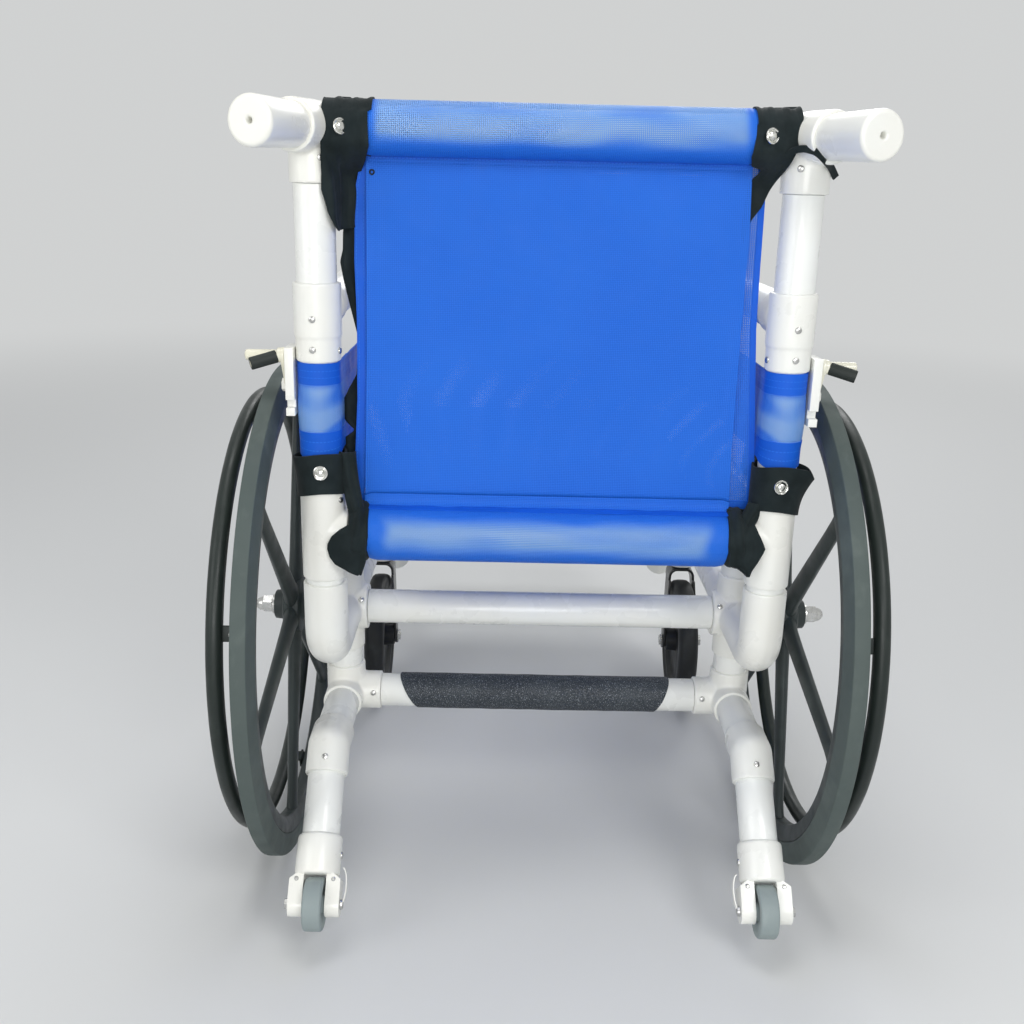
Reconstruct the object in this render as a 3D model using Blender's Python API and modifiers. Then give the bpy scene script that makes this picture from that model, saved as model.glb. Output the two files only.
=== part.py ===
"""Pool wheelchair with a white plastic-pipe frame, mesh slings and two large spoked wheels.

Metres, +Z up. The chair faces -Y and its left side is +X. The floor is z = 0 and the origin is
under the middle of the object's box. Run it with Blender: every sub-part becomes its own object.
"""

import bmesh
import bpy
from math import atan2, cos, degrees, pi, radians, sin
from mathutils import Matrix, Vector

GAP = 0.0003  # running and seating clearance between neighbours
WELD = 0.000001  # points this close are one point

# Pipe and fittings: 1 1/4 inch furniture-grade plastic pipe
PIPE_R = 0.0211
PIPE_WALL = 0.0036
FITTING_R = 0.0245
BRANCH_R = 0.0242
HANDLE_SOCKET_R = 0.0255
ARM_SLEEVE_R = 0.0250
COLLAR_R = 0.0238
HUB_R = 0.0285
KNUCKLE_R = 0.0238  # rounds a fitting where its sockets meet
RIM_CHAMFER = 0.0020
SOCKET = 0.054  # from a fitting's centre to its rim
SHORT_SOCKET = 0.045
SOCKET_ROOT = 0.0041  # how far a socket's bar reaches past the fitting's centre
PIPE_ROOT = 0.0060  # how far a glued pipe's bar reaches past it
PIPE_SIDES = 12
BOLT_SIDES = 12
NUT_SIDES = 6
WASHER_SIDES = 16
END_STEPS = 8  # round ends of flat plates

# Frame planes and heights
FRAME_X = 0.248
SEAT_Z = 0.452
ARM_Z = 0.6945
TOP_Z = 0.874
LOW_TUBE_DROP = 0.117  # lower cross tube under the axle
POST_SETBACK = 0.138  # back posts behind the wheel axle
STEM_FORWARD = 0.415  # front uprights ahead of the wheel axle

# Rear wheels
WHEEL_R = 0.305
WHEEL_X = 0.311
WHEEL_STEPS = 32
TYRE_WIDTH = 0.026
TREAD_WIDTH = 0.0158
TYRE_BEAD = 0.0045  # from the rim's seat to where the tyre is widest
TYRE_DEPTH = 0.026
RIM_WIDTH = 0.022
RIM_DEPTH = 0.020
RIM_INNER_WIDTH = 0.0154
RIM_SHOULDER = 0.0070  # from the rim's inner face to where its sides are widest
SPOKES = 6
SPOKE_TURN = radians(15.5)  # how far the wheels stand turned from an upright spoke
SPOKE_ROOT = 0.030
SPOKE_TIP = 0.022
SPOKE_THICK = 0.014
SPOKE_SIDES = 6
HUB_FLANGE_R = 0.034
HUB_FLANGE_WIDTH = 0.020
HUB_BARREL_R = 0.018
HUB_OUTER_X = 0.335
HANDRIM_INSET = 0.014  # the hoop's centre line inside the rim's seat
HANDRIM_X = 0.344
HANDRIM_TUBE_R = 0.009
HANDRIM_SIDES = 6
TAB_WIDTH = 0.018
TAB_THICK = 0.004
AXLE_R = 0.0064
AXLE_WASHER_R = 0.0125
AXLE_WASHER = 0.0030
AXLE_NUT_R = 0.0110
AXLE_NUT = 0.0130
AXLE_END = 0.0100
AXLE_END_R = 0.0077
AXLE_TIP_R = 0.0045

# Corner fittings and push handles
HANDLE_SPLAY = radians(18)
HANDLE_SOCKET = 0.044
HANDLE_REACH = 0.120
HANDLE_END_R = 0.0233
HANDLE_ROOT_R = 0.0219
HANDLE_EDGE = 0.0030
HANDLE_HOLE_R = 0.0030
HANDLE_HOLE_DEPTH = 0.010
INNER_SOCKET = 0.052

# Seat tee, axle fitting and swept back elbow
SEAT_BRANCH = 0.029
AXLE_HUB = 0.031
AXLE_BOSS = 0.0305
ELBOW_BEND = 0.030
ELBOW_TOP_DROP = 0.060  # from the seat tube's height to the elbow's upper rim
ELBOW_START = 0.008
ELBOW_ARC_STEPS = 4
RAIL_SLEEVE = 0.045
LOW_UP_SOCKET = 0.040
LOW_INNER_SOCKET = 0.046
LOW_REAR_SOCKET = 0.040

# Arm tee sleeve on the back post
SLEEVE_TOP = 0.0275
SLEEVE_BOTTOM = 0.0275
COLLAR_DROP = 0.0535

# Grip tape on the lower tube
TAPE_R = 0.0230
TAPE_HALF = 0.178

# Anti-tip legs
LEG_ELBOW_Y = 0.1465  # elbow behind the axle
LEG_SLOPE = radians(45)
LEG_ELBOW_ARM = 0.035
LEG_LENGTH = 0.1775  # elbow to small wheel axle
TIP_WHEEL_R = 0.0285
TIP_WHEEL_WIDTH = 0.023
TIP_HUB_WIDTH = 0.0242
TIP_HUB_R = 0.010
TIP_BOLT_R = 0.0030
CLEVIS_R = 0.0250
CLEVIS_SOCKET = 0.044
CLEVIS_SETBACK = 0.0295
EAR_THICK = 0.0156
EAR_HALF = 0.0150
EAR_END_R = 0.0135
TIP_NUT_R = 0.0058
TIP_NUT = 0.0050
TIP_HEAD = 0.0035
EAR_ROOT = 0.0080  # how far the ears reach into their socket

# Casters
CASTER_R = 0.100
CASTER_WIDTH = 0.031
CASTER_TRAIL = 0.040
CASTER_STEPS = 20
CASTER_TREAD = 0.018
CASTER_WEB = 0.012
CASTER_HUB_R = 0.017
CASTER_BOLT_R = 0.0048
CASTER_NUT_R = 0.0096
CASTER_NUT = 0.0050
CROWN_WASHER_R = 0.0160
CROWN_GAP = 0.012  # wheel top to crown underside
CROWN_THICK = 0.005
CROWN_HALF = 0.020
FORK_THICK = 0.004
FORK_SPREAD = 0.029  # leg's outer face from the wheel's mid-plane, at the axle
FORK_TOP_WIDTH = 0.038
FORK_END_R = 0.013
STEM_R = 0.0080
STEM_LENGTH = 0.070
BEARING_DROP = 0.004

# Footrest
FOOT_PIVOT_Z = 0.150
FOOT_ELBOW_FORWARD = 0.070
FOOT_LEG_SLOPE = radians(45)
FOOT_DEPTH = 0.160
FOOT_HALF = 0.208
FOOT_THICK = 0.009
FOOT_CORNER = 0.030
FOOT_KNUCKLE_R = 0.013
FOOT_KNUCKLE_LENGTH = 0.034
FOOT_SLEEVE_UP = 0.027
FOOT_SLEEVE_DOWN = 0.022
FOOT_LEG_END = 0.018  # from the plate's pin to the leg's lower end
FOOT_PIN_R = 0.0060
FOOT_SLOTS = 5
FOOT_SLOT_LENGTH = 0.070
FOOT_SLOT_PITCH = 0.070
FOOT_SLOT_WIDTH = 0.012

# Slings and straps
SLING_THICK = 0.0030
TOP_ROLL_R = 0.0257
BOTTOM_ROLL_R = 0.0285
TOP_ROLL_HALF = 0.192
BOTTOM_ROLL_HALF = 0.199
BACK_PANEL_FORWARD = 0.008
SEAT_SLING_HALF = 0.196
SEAT_ROLL_R = 0.0255
SEAT_SAG = 0.016
SEAT_SAG_STEPS = 8
ROLL_STEPS = 16
SIDE_SLEEVE_R = 0.0235
SIDE_BAND_THICK = 0.0030
STRAP_THICK = 0.0032
TOP_STRAP_WIDTH = 0.0235
TOP_STRAP_TAIL = 0.110
TOP_STRAP_TAIL_WIDTH = 0.018
POST_STRAP_LIFT = 0.0405  # its lower edge over the seat tubes
POST_STRAP_WIDTH = 0.0495
TIE_WIDTH = 0.0128  # the gathered length that runs down to the knot
KNOT_R = 0.0340
KNOT_WIDTH = 0.0180
KNOT_EDGE = 0.0055

# Wheel locks
LOCK_PLATE_THICK = 0.0095
LOCK_PLATE_LIFT = 0.009  # its middle over the pivot
LOCK_PLATE_HEIGHT = 0.072
LOCK_PLATE_DEPTH = 0.034
LOCK_NOTCH = 0.0085
LOCK_PIVOT_BACK = 0.120
LOCK_BOLT_R = 0.0040
LOCK_HEAD_R = 0.0075
LOCK_HEAD = 0.0050
LEVER_THICK = 0.0040
LEVER_EYE_R = 0.0120
SHOE_BOSS_R = 0.0072
GRIP_BOSS_R = 0.0082
SHOE_BACK = -0.025  # from the pivot, along Y
SHOE_UP = 0.0275
SHOE_R = 0.0065
SHOE_END_X = 0.336
GRIP_BACK = 0.027
GRIP_UP = 0.0365
GRIP_R = 0.0068
GRIP_BOSS = 0.004  # stands out of the lever's outer face
GRIP_END_X = 0.316
GRIP_END_BACK = 0.012  # how far the grip's end lies behind its boss, and below it
GRIP_END_DROP = 0.008

# Heights and stations that follow from the sizes above
AXLE_Z = WHEEL_R
LOW_TUBE_Z = AXLE_Z - LOW_TUBE_DROP
FOOT_PIVOT_FORWARD = STEM_FORWARD + FOOT_ELBOW_FORWARD + (AXLE_Z - FOOT_PIVOT_Z) / (
    sin(FOOT_LEG_SLOPE) / cos(FOOT_LEG_SLOPE)
)
FRONT_REACH = FOOT_PIVOT_FORWARD + FOOT_DEPTH
TIP_AXLE_BACK = LEG_ELBOW_Y + LEG_LENGTH * cos(LEG_SLOPE)
TIP_AXLE_Z = LOW_TUBE_Z - LEG_LENGTH * sin(LEG_SLOPE)
REAR_REACH = max(WHEEL_R, TIP_AXLE_BACK + TIP_WHEEL_R)
AXLE_Y = (FRONT_REACH - REAR_REACH) / 2
BACK_Y = AXLE_Y + POST_SETBACK
STEM_Y = AXLE_Y - STEM_FORWARD
FOOT_Y = AXLE_Y - FOOT_PIVOT_FORWARD
BOSS_X = FRAME_X + AXLE_BOSS
RIM_R = WHEEL_R - TYRE_DEPTH
HANDRIM_R = RIM_R - HANDRIM_INSET
POST_STRAP_BOTTOM = SEAT_Z + POST_STRAP_LIFT
POST_STRAP_TOP = POST_STRAP_BOTTOM + POST_STRAP_WIDTH
SIDE_SLEEVE_BOTTOM = POST_STRAP_TOP + GAP
SIDE_SLEEVE_TOP = ARM_Z - COLLAR_DROP - GAP
LOCK_PIVOT_Z = AXLE_Z + WHEEL_R  # level with the tyre's top

LEFT, RIGHT = 1, -1
SIDES = {LEFT: "left", RIGHT: "right"}
X, Y, Z = Vector((1, 0, 0)), Vector((0, 1, 0)), Vector((0, 0, 1))


def clear_scene():
    for obj in list(bpy.data.objects):
        bpy.data.objects.remove(obj, do_unlink=True)


def collection(name, hidden=False):
    made = bpy.data.collections.new(name)
    bpy.context.scene.collection.children.link(made)
    made.hide_render = hidden
    return made


def material(name, color, roughness, metallic=0.0):
    made = bpy.data.materials.new(name)
    made.use_nodes = True
    shader = made.node_tree.nodes["Principled BSDF"]
    shader.inputs["Base Color"].default_value = (*color, 1)
    shader.inputs["Roughness"].default_value = roughness
    shader.inputs["Metallic"].default_value = metallic
    made.diffuse_color = (*color, 1)
    return made


clear_scene()
PARTS = collection("pool_wheelchair")
CUTTERS = collection("cutters", hidden=True)
PIPE = material("white_pipe", (0.86, 0.87, 0.82), 0.30)
BLUE = material("blue_mesh", (0.02, 0.12, 0.62), 0.65)
BLACK_STRAP = material("black_strap", (0.012, 0.018, 0.018), 0.90)
TAPE = material("grip_tape", (0.030, 0.038, 0.048), 0.85)
TYRE = material("grey_tyre", (0.060, 0.075, 0.075), 0.70)
WHEEL = material("dark_wheel", (0.035, 0.042, 0.045), 0.45)
HANDRIM = material("handrim_coat", (0.020, 0.026, 0.024), 0.35)
CASTER = material("black_caster", (0.015, 0.016, 0.017), 0.55)
FORK = material("black_fork", (0.012, 0.012, 0.013), 0.35, 0.6)
GREY_WHEEL = material("grey_wheel", (0.26, 0.30, 0.30), 0.60)
STEEL = material("steel", (0.60, 0.60, 0.58), 0.30, 1.0)
GRIP = material("black_grip", (0.014, 0.018, 0.016), 0.60)


def mesh_from(bm, name="shape"):
    mesh = bpy.data.meshes.new(name)
    bm.to_mesh(mesh)
    bm.free()
    return mesh


def apothem(radius, sides):
    """Corner radius of a polygon whose flats lie at this radius."""
    return radius / cos(pi / sides)


def rod(start, end, radius, sides=PIPE_SIDES, end_radius=None, rim=0.0, both=False, phase=0.0):
    """A solid round bar from start to end. rim chamfers its end edge, and both its ends."""
    start, end = Vector(start), Vector(end)
    run = end - start
    bm = bmesh.new()
    bmesh.ops.create_cone(
        bm, cap_ends=True, segments=sides, radius1=radius,
        radius2=radius if end_radius is None else end_radius, depth=run.length,
    )
    if rim:
        wanted = (1, -1) if both else (1,)
        edges = [
            edge for face in bm.faces for edge in face.edges
            if len(face.verts) == sides and round(face.normal.z) in wanted
        ]
        bmesh.ops.bevel(bm, geom=edges, offset=rim, segments=1, affect="EDGES")
    turn = run.to_track_quat("Z", "Y").to_matrix().to_4x4() @ Matrix.Rotation(phase, 4, "Z")
    bmesh.ops.transform(bm, matrix=Matrix.Translation((start + end) / 2) @ turn, verts=bm.verts)
    return mesh_from(bm)


def box(low, high, bevel=0.0):
    low, high = Vector(low), Vector(high)
    size = high - low
    bm = bmesh.new()
    bmesh.ops.create_cube(bm, size=1)
    place = Matrix.Translation((low + high) / 2) @ Matrix.Diagonal((*map(abs, size), 1))
    bmesh.ops.transform(bm, matrix=place, verts=bm.verts)
    if bevel:
        bmesh.ops.bevel(bm, geom=bm.edges[:], offset=bevel, segments=1, affect="EDGES")
    return mesh_from(bm)


def ball(centre, radius):
    bm = bmesh.new()
    bmesh.ops.create_icosphere(bm, subdivisions=2, radius=radius)
    off_grid = Matrix.Rotation(radians(11), 4, Vector((1, 2, 3)))  # no corner lies on a socket's edge
    bmesh.ops.transform(bm, matrix=Matrix.Translation(centre) @ off_grid, verts=bm.verts)
    return mesh_from(bm)


def evaluated_mesh(obj):
    """The object's mesh with its modifiers applied, and the object gone."""
    graph = bpy.context.evaluated_depsgraph_get()
    mesh = bpy.data.meshes.new_from_object(obj.evaluated_get(graph))
    bpy.data.objects.remove(obj, do_unlink=True)
    return mesh


def welded(obj):
    """A helper's shape as a mesh with its loose points made one and its faces pointing out."""
    bm = bmesh.new()
    bm.from_mesh(evaluated_mesh(obj))
    bmesh.ops.remove_doubles(bm, verts=bm.verts, dist=WELD)
    bmesh.ops.recalc_face_normals(bm, faces=bm.faces)
    return mesh_from(bm)


def helper(mesh):
    obj = bpy.data.objects.new("helper", mesh)
    CUTTERS.objects.link(obj)
    obj.hide_render = True
    obj.display_type = "WIRE"
    return obj


def turned(profile, sides, axis=Z, closed=True, phase=0.0):
    """A profile of (along, radius) points turned about axis. An open one starts and ends on it."""
    mesh = bpy.data.meshes.new("profile")
    count = len(profile)
    edges = [(i, i + 1) for i in range(count - 1)] + ([(count - 1, 0)] if closed else [])
    mesh.from_pydata([(radius, 0, along) for along, radius in profile], edges, [])
    obj = helper(mesh)
    screw = obj.modifiers.new("turn", "SCREW")
    screw.axis = "Z"
    screw.angle = 2 * pi
    screw.steps = screw.render_steps = sides
    screw.use_merge_vertices = True
    screw.merge_threshold = 10 * WELD
    turn = Vector(axis).to_track_quat("Z", "Y").to_matrix().to_4x4()
    return moved(welded(obj), turn @ Matrix.Rotation(phase, 4, "Z"))


def swept(points, radius):
    """A round bar along points, as a bevelled curve made into a closed mesh."""
    curve = bpy.data.curves.new("path", "CURVE")
    curve.dimensions = "3D"
    curve.bevel_depth = radius
    curve.bevel_resolution = PIPE_SIDES // 2 - 2
    curve.use_fill_caps = True
    spline = curve.splines.new("POLY")
    spline.points.add(len(points) - 1)
    for point, place in zip(spline.points, points):
        point.co = (*place, 1)
    return welded(helper(curve))


def outline(loops, thickness):
    """A flat plate in the XY plane: the first loop is its edge and the others are its holes."""
    curve = bpy.data.curves.new("outline", "CURVE")
    curve.dimensions = "2D"
    curve.fill_mode = "BOTH"
    curve.extrude = thickness / 2
    for loop in loops:
        spline = curve.splines.new("POLY")
        spline.points.add(len(loop) - 1)
        spline.use_cyclic_u = True
        for point, place in zip(spline.points, loop):
            point.co = (*place, 0, 1)
    return welded(helper(curve))


def arc(centre, radius, start, end, steps):
    """Points of a circular arc in a plane, both ends included. Angles are in degrees."""
    return [
        (
            centre[0] + radius * cos(radians(start + (end - start) * i / steps)),
            centre[1] + radius * sin(radians(start + (end - start) * i / steps)),
        )
        for i in range(steps + 1)
    ]


def circle(centre, radius, steps):
    return arc(centre, radius, 0, 360, steps)[:-1]


def moved(mesh, matrix):
    mesh.transform(matrix)
    if matrix.determinant() < 0:
        mesh.flip_normals()
    return mesh


def across(mesh, x):
    """Stands a plate drawn in (Y, Z) on its edge, its middle at this x."""
    return moved(mesh, Matrix(((0, 0, 1, x), (1, 0, 0, 0), (0, 1, 0, 0), (0, 0, 0, 1))))


def joined(solids, cuts=()):
    """One closed mesh: the union of solids, less the cuts."""
    base = helper(solids[0])
    tools = []
    for mesh, operation in [(m, "UNION") for m in solids[1:]] + [(m, "DIFFERENCE") for m in cuts]:
        tool = helper(mesh)
        tools.append(tool)
        boolean = base.modifiers.new(operation.lower(), "BOOLEAN")
        boolean.operation = operation
        boolean.solver = "EXACT"
        boolean.object = tool
    mesh = evaluated_mesh(base)
    for tool in tools:
        bpy.data.objects.remove(tool, do_unlink=True)
    return mesh


def part(name, mesh, finish, location=(0, 0, 0), sharp=30):
    """A finished sub-part: a named object with its own material, shaded smooth up to sharp degrees."""
    mesh.name = name
    mesh.materials.clear()
    mesh.materials.append(finish)
    mesh.shade_smooth()
    mesh.set_sharp_from_angle(angle=radians(sharp))
    obj = bpy.data.objects.new(name, mesh)
    obj.location = location
    PARTS.objects.link(obj)
    return obj


def hollow_pipe(length):
    """A straight pipe along Z, its middle at the origin."""
    half = length / 2
    inner = PIPE_R - PIPE_WALL
    return turned([(half, inner), (half, PIPE_R), (-half, PIPE_R), (-half, inner)], PIPE_SIDES)


def straight_pipe(name, start, end):
    start, end = Vector(start), Vector(end)
    obj = part(name, hollow_pipe((end - start).length), PIPE, (start + end) / 2)
    obj.rotation_mode = "QUATERNION"
    obj.rotation_quaternion = (end - start).to_track_quat("Z", "Y")
    return obj


def arm(direction, length, radius=BRANCH_R, start=(0, 0, 0), rim=RIM_CHAMFER):
    """One socket of a fitting: a bar whose rim is chamfered, its corners clear of the run's."""
    start = Vector(start)
    along = Vector(direction).normalized()
    root = start - along * SOCKET_ROOT
    return rod(root, start + along * length, radius, rim=rim, phase=pi / PIPE_SIDES / 2)


def glued_pipe(end):
    """A pipe from inside the fitting at the origin out to its far end."""
    end = Vector(end)
    return rod(-PIPE_ROOT * end.normalized(), end, PIPE_R)


def bore(start, end, radius, sides=PIPE_SIDES):
    """A cutter that leaves the named clearance round a bar of this radius."""
    return rod(start, end, apothem(radius + GAP, sides), sides)


def cross_tubes():
    """The pipes that run from side to side, and the tape round the lowest."""
    top = FRAME_X - INNER_SOCKET - GAP
    seat = FRAME_X - SEAT_BRANCH - GAP
    axle = FRAME_X - AXLE_HUB - GAP
    low = FRAME_X - LOW_INNER_SOCKET - GAP
    front = FRAME_X - SHORT_SOCKET - GAP
    straight_pipe("upper_back_tube", (-top, BACK_Y, TOP_Z), (top, BACK_Y, TOP_Z))
    straight_pipe("lower_back_tube", (-seat, BACK_Y, SEAT_Z), (seat, BACK_Y, SEAT_Z))
    straight_pipe("axle_tube", (-axle, AXLE_Y, AXLE_Z), (axle, AXLE_Y, AXLE_Z))
    straight_pipe("lower_tube", (-low, AXLE_Y, LOW_TUBE_Z), (low, AXLE_Y, LOW_TUBE_Z))
    straight_pipe("seat_front_tube", (-front, STEM_Y, SEAT_Z), (front, STEM_Y, SEAT_Z))
    inner = PIPE_R + GAP
    tape = [(TAPE_HALF, inner), (TAPE_HALF, TAPE_R), (-TAPE_HALF, TAPE_R), (-TAPE_HALF, inner)]
    part("grip_tape", turned(tape, PIPE_SIDES, axis=X), TAPE, (0, AXLE_Y, LOW_TUBE_Z))


def side_pipes(side):
    """The back post and the two rails that run forward from it."""
    x = side * FRAME_X
    name = SIDES[side]
    foot = SEAT_Z + SOCKET + GAP
    straight_pipe(f"back_post_{name}", (x, BACK_Y, foot), (x, BACK_Y, TOP_Z - SOCKET - GAP))
    rear = BACK_Y - SOCKET - GAP
    front = STEM_Y + SOCKET + GAP
    straight_pipe(f"seat_rail_{name}", (x, rear, SEAT_Z), (x, front, SEAT_Z))
    straight_pipe(f"lower_rail_{name}", (x, AXLE_Y - SOCKET - GAP, AXLE_Z), (x, front, AXLE_Z))


def handle_direction(side):
    return Vector((side * sin(HANDLE_SPLAY), cos(HANDLE_SPLAY), 0))


def corner_fitting(side):
    """The three-way fitting on a post's top: post below, cross tube inward, push handle behind."""
    solids = [
        arm(-Z, SOCKET, FITTING_R),
        arm(-side * X, INNER_SOCKET),
        arm(handle_direction(side), HANDLE_SOCKET, HANDLE_SOCKET_R),
        ball((0, 0, 0), KNUCKLE_R),
    ]
    part(f"corner_fitting_{SIDES[side]}", joined(solids), PIPE, (side * FRAME_X, BACK_Y, TOP_Z))


def push_handle(side):
    """A moulded stub with a rounded end and a screw hole in the middle of it."""
    length = HANDLE_REACH - HANDLE_SOCKET - GAP
    edge = [
        (length - HANDLE_EDGE + HANDLE_EDGE * sin(turn), HANDLE_END_R - HANDLE_EDGE * (1 - cos(turn)))
        for turn in (pi / 2, pi / 4, 0)
    ]
    profile = [(length - HANDLE_HOLE_DEPTH, 0), (length - HANDLE_HOLE_DEPTH, HANDLE_HOLE_R)]
    profile += [(length, HANDLE_HOLE_R), *edge, (0, HANDLE_ROOT_R), (0, 0)]
    direction = handle_direction(side)
    obj = part(f"push_handle_{SIDES[side]}", turned(profile, PIPE_SIDES, closed=False), PIPE)
    obj.location = Vector((side * FRAME_X, BACK_Y, TOP_Z)) + direction * (HANDLE_SOCKET + GAP)
    obj.rotation_mode = "QUATERNION"
    obj.rotation_quaternion = direction.to_track_quat("Z", "Y")


def arm_tee(side):
    """A sleeve and collar that the post runs through, with a socket ahead for the armrest."""
    solids = [
        rod(-SLEEVE_BOTTOM * Z, SLEEVE_TOP * Z, ARM_SLEEVE_R, rim=RIM_CHAMFER, both=True),
        rod(-COLLAR_DROP * Z, Vector((0, 0, 0)), COLLAR_R, rim=RIM_CHAMFER / 2, both=True),
        arm(-Y, SOCKET),
    ]
    through = bore(-SOCKET * 2 * Z, SOCKET * 2 * Z, PIPE_R)
    part(f"arm_tee_{SIDES[side]}", joined(solids, [through]), PIPE, (side * FRAME_X, BACK_Y, ARM_Z))


def armrest_frame(side):
    """The armrest pipe from the arm tee to an elbow over the front upright, and down to it."""
    rear = Vector((0, BACK_Y - SOCKET - GAP - STEM_Y, 0))
    foot = Vector((0, 0, SEAT_Z + SOCKET + GAP - ARM_Z))
    solids = [
        glued_pipe(rear),
        glued_pipe(foot),
        arm(Y, SHORT_SOCKET, FITTING_R),
        arm(-Z, SHORT_SOCKET),
        ball((0, 0, 0), KNUCKLE_R),
    ]
    part(f"armrest_frame_{SIDES[side]}", joined(solids), PIPE, (side * FRAME_X, STEM_Y, ARM_Z))


def seat_tee(side):
    """The post's foot: lower back tube inward, seat rail ahead, swept elbow below."""
    solids = [
        rod(-SOCKET * Z, SOCKET * Z, FITTING_R, rim=RIM_CHAMFER, both=True),
        arm(-side * X, SEAT_BRANCH),
        arm(-Y, SOCKET),
    ]
    part(f"seat_tee_{SIDES[side]}", joined(solids), PIPE, (side * FRAME_X, BACK_Y, SEAT_Z))


def elbow_path():
    """The swept elbow's centre line in (Y, Z) from the axle: back, round and up."""
    bend = arc((POST_SETBACK - ELBOW_BEND, ELBOW_BEND), ELBOW_BEND, -90, 0, ELBOW_ARC_STEPS)
    top = SEAT_Z - ELBOW_TOP_DROP - AXLE_Z
    return [Vector((0, y, z)) for y, z in [(ELBOW_START, 0), *bend, (POST_SETBACK, top)]]


def rear_upright(side):
    """Axle fitting with the swept elbow behind, the rail sleeve above and a pipe to the lower fitting."""
    seat = Vector((0, 0, SEAT_Z - AXLE_Z))
    low = Vector((0, 0, LOW_TUBE_Z + LOW_UP_SOCKET + GAP - AXLE_Z))
    elbow_top = elbow_path()[-1]
    neck_top = Vector((0, POST_SETBACK, SEAT_Z - SOCKET - GAP - AXLE_Z))
    solids = [
        rod(-SOCKET * Z, SOCKET * Z, FITTING_R, rim=RIM_CHAMFER, both=True),
        rod(low, seat, PIPE_R),
        arm(-Y, SOCKET),
        arm(-side * X, AXLE_HUB, HUB_R),
        arm(side * X, AXLE_BOSS, rim=0),
        swept(elbow_path(), FITTING_R),
        rod(elbow_top - RIM_CHAMFER * Z, neck_top, PIPE_R),
        rod(seat - RAIL_SLEEVE * Y, seat + RAIL_SLEEVE * Y, FITTING_R, rim=RIM_CHAMFER, both=True),
        arm(-Z, SOCKET, BRANCH_R, seat),
    ]
    cuts = [
        bore(seat - SOCKET * Y, seat + SOCKET * Y, PIPE_R),
        bore(-SOCKET * X, SOCKET * X, AXLE_R, BOLT_SIDES),
    ]
    place = (side * FRAME_X, AXLE_Y, AXLE_Z)
    part(f"rear_upright_{SIDES[side]}", joined(solids, cuts), PIPE, place)


def lower_fitting(side):
    """Holds the lower cross tube and the anti-tip leg under the axle."""
    solids = [
        arm(Z, LOW_UP_SOCKET, FITTING_R),
        arm(-side * X, LOW_INNER_SOCKET),
        arm(Y, LOW_REAR_SOCKET),
        ball((0, 0, 0), KNUCKLE_R),
    ]
    place = (side * FRAME_X, AXLE_Y, LOW_TUBE_Z)
    part(f"lower_fitting_{SIDES[side]}", joined(solids), PIPE, place)


def leg_direction():
    return Vector((0, cos(LEG_SLOPE), -sin(LEG_SLOPE)))


def anti_tip_leg(side):
    """A nipple, an elbow and the sloping pipe that reaches back to the small wheel."""
    rear = Vector((0, LOW_REAR_SOCKET + GAP - LEG_ELBOW_Y, 0))
    down = leg_direction()
    foot = down * (LEG_LENGTH - CLEVIS_SETBACK - CLEVIS_SOCKET - GAP)
    solids = [
        glued_pipe(rear),
        glued_pipe(foot),
        arm(-Y, LEG_ELBOW_ARM, FITTING_R),
        arm(down, LEG_ELBOW_ARM),
        ball((0, 0, 0), KNUCKLE_R),
    ]
    place = (side * FRAME_X, AXLE_Y + LEG_ELBOW_Y, LOW_TUBE_Z)
    part(f"anti_tip_leg_{SIDES[side]}", joined(solids), PIPE, place)


def anti_tip_clevis(side):
    """A socket with two ears, and the bolt that the small wheel turns on."""
    down = leg_direction()
    top = CLEVIS_SETBACK + CLEVIS_SOCKET
    ear_inner = TIP_HUB_WIDTH / 2 + GAP
    root = -CLEVIS_SETBACK - EAR_ROOT
    shape = [(root, EAR_HALF), *arc((0, 0), EAR_END_R, 90, -90, END_STEPS), (root, -EAR_HALF)]
    lean = Matrix.Rotation(-LEG_SLOPE, 4, "X")
    ears = [
        moved(across(outline([shape], EAR_THICK), hand * (ear_inner + EAR_THICK / 2)), lean)
        for hand in (1, -1)
    ]
    outer = ear_inner + EAR_THICK
    bolt = rod(-(outer + TIP_HEAD) * side * X, (outer + TIP_NUT) * side * X, TIP_BOLT_R, BOLT_SIDES)
    head = rod(-(outer - GAP) * side * X, -(outer + TIP_HEAD) * side * X, TIP_NUT_R, BOLT_SIDES)
    nut = rod((outer - GAP) * side * X, (outer + TIP_NUT) * side * X, TIP_NUT_R, NUT_SIDES)
    socket = rod(-down * top, -down * CLEVIS_SETBACK, CLEVIS_R, rim=RIM_CHAMFER, both=True)
    place = (side * FRAME_X, AXLE_Y + TIP_AXLE_BACK, TIP_AXLE_Z)
    mesh = joined([socket, *ears, bolt, head, nut])
    part(f"anti_tip_clevis_{SIDES[side]}", mesh, PIPE, place)


def anti_tip_wheel(side):
    half = TIP_WHEEL_WIDTH / 2
    hub = TIP_HUB_WIDTH / 2
    edge = RIM_CHAMFER
    inner = apothem(TIP_BOLT_R + GAP, PIPE_SIDES)
    profile = [
        (hub, inner), (half, TIP_HUB_R), (half, TIP_WHEEL_R - edge), (half - edge, TIP_WHEEL_R),
        (edge - half, TIP_WHEEL_R), (-half, TIP_WHEEL_R - edge), (-half, TIP_HUB_R), (-hub, inner),
    ]
    place = (side * FRAME_X, AXLE_Y + TIP_AXLE_BACK, TIP_AXLE_Z)
    part(f"anti_tip_wheel_{SIDES[side]}", turned(profile, PIPE_SIDES, axis=X), GREY_WHEEL, place)


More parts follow.
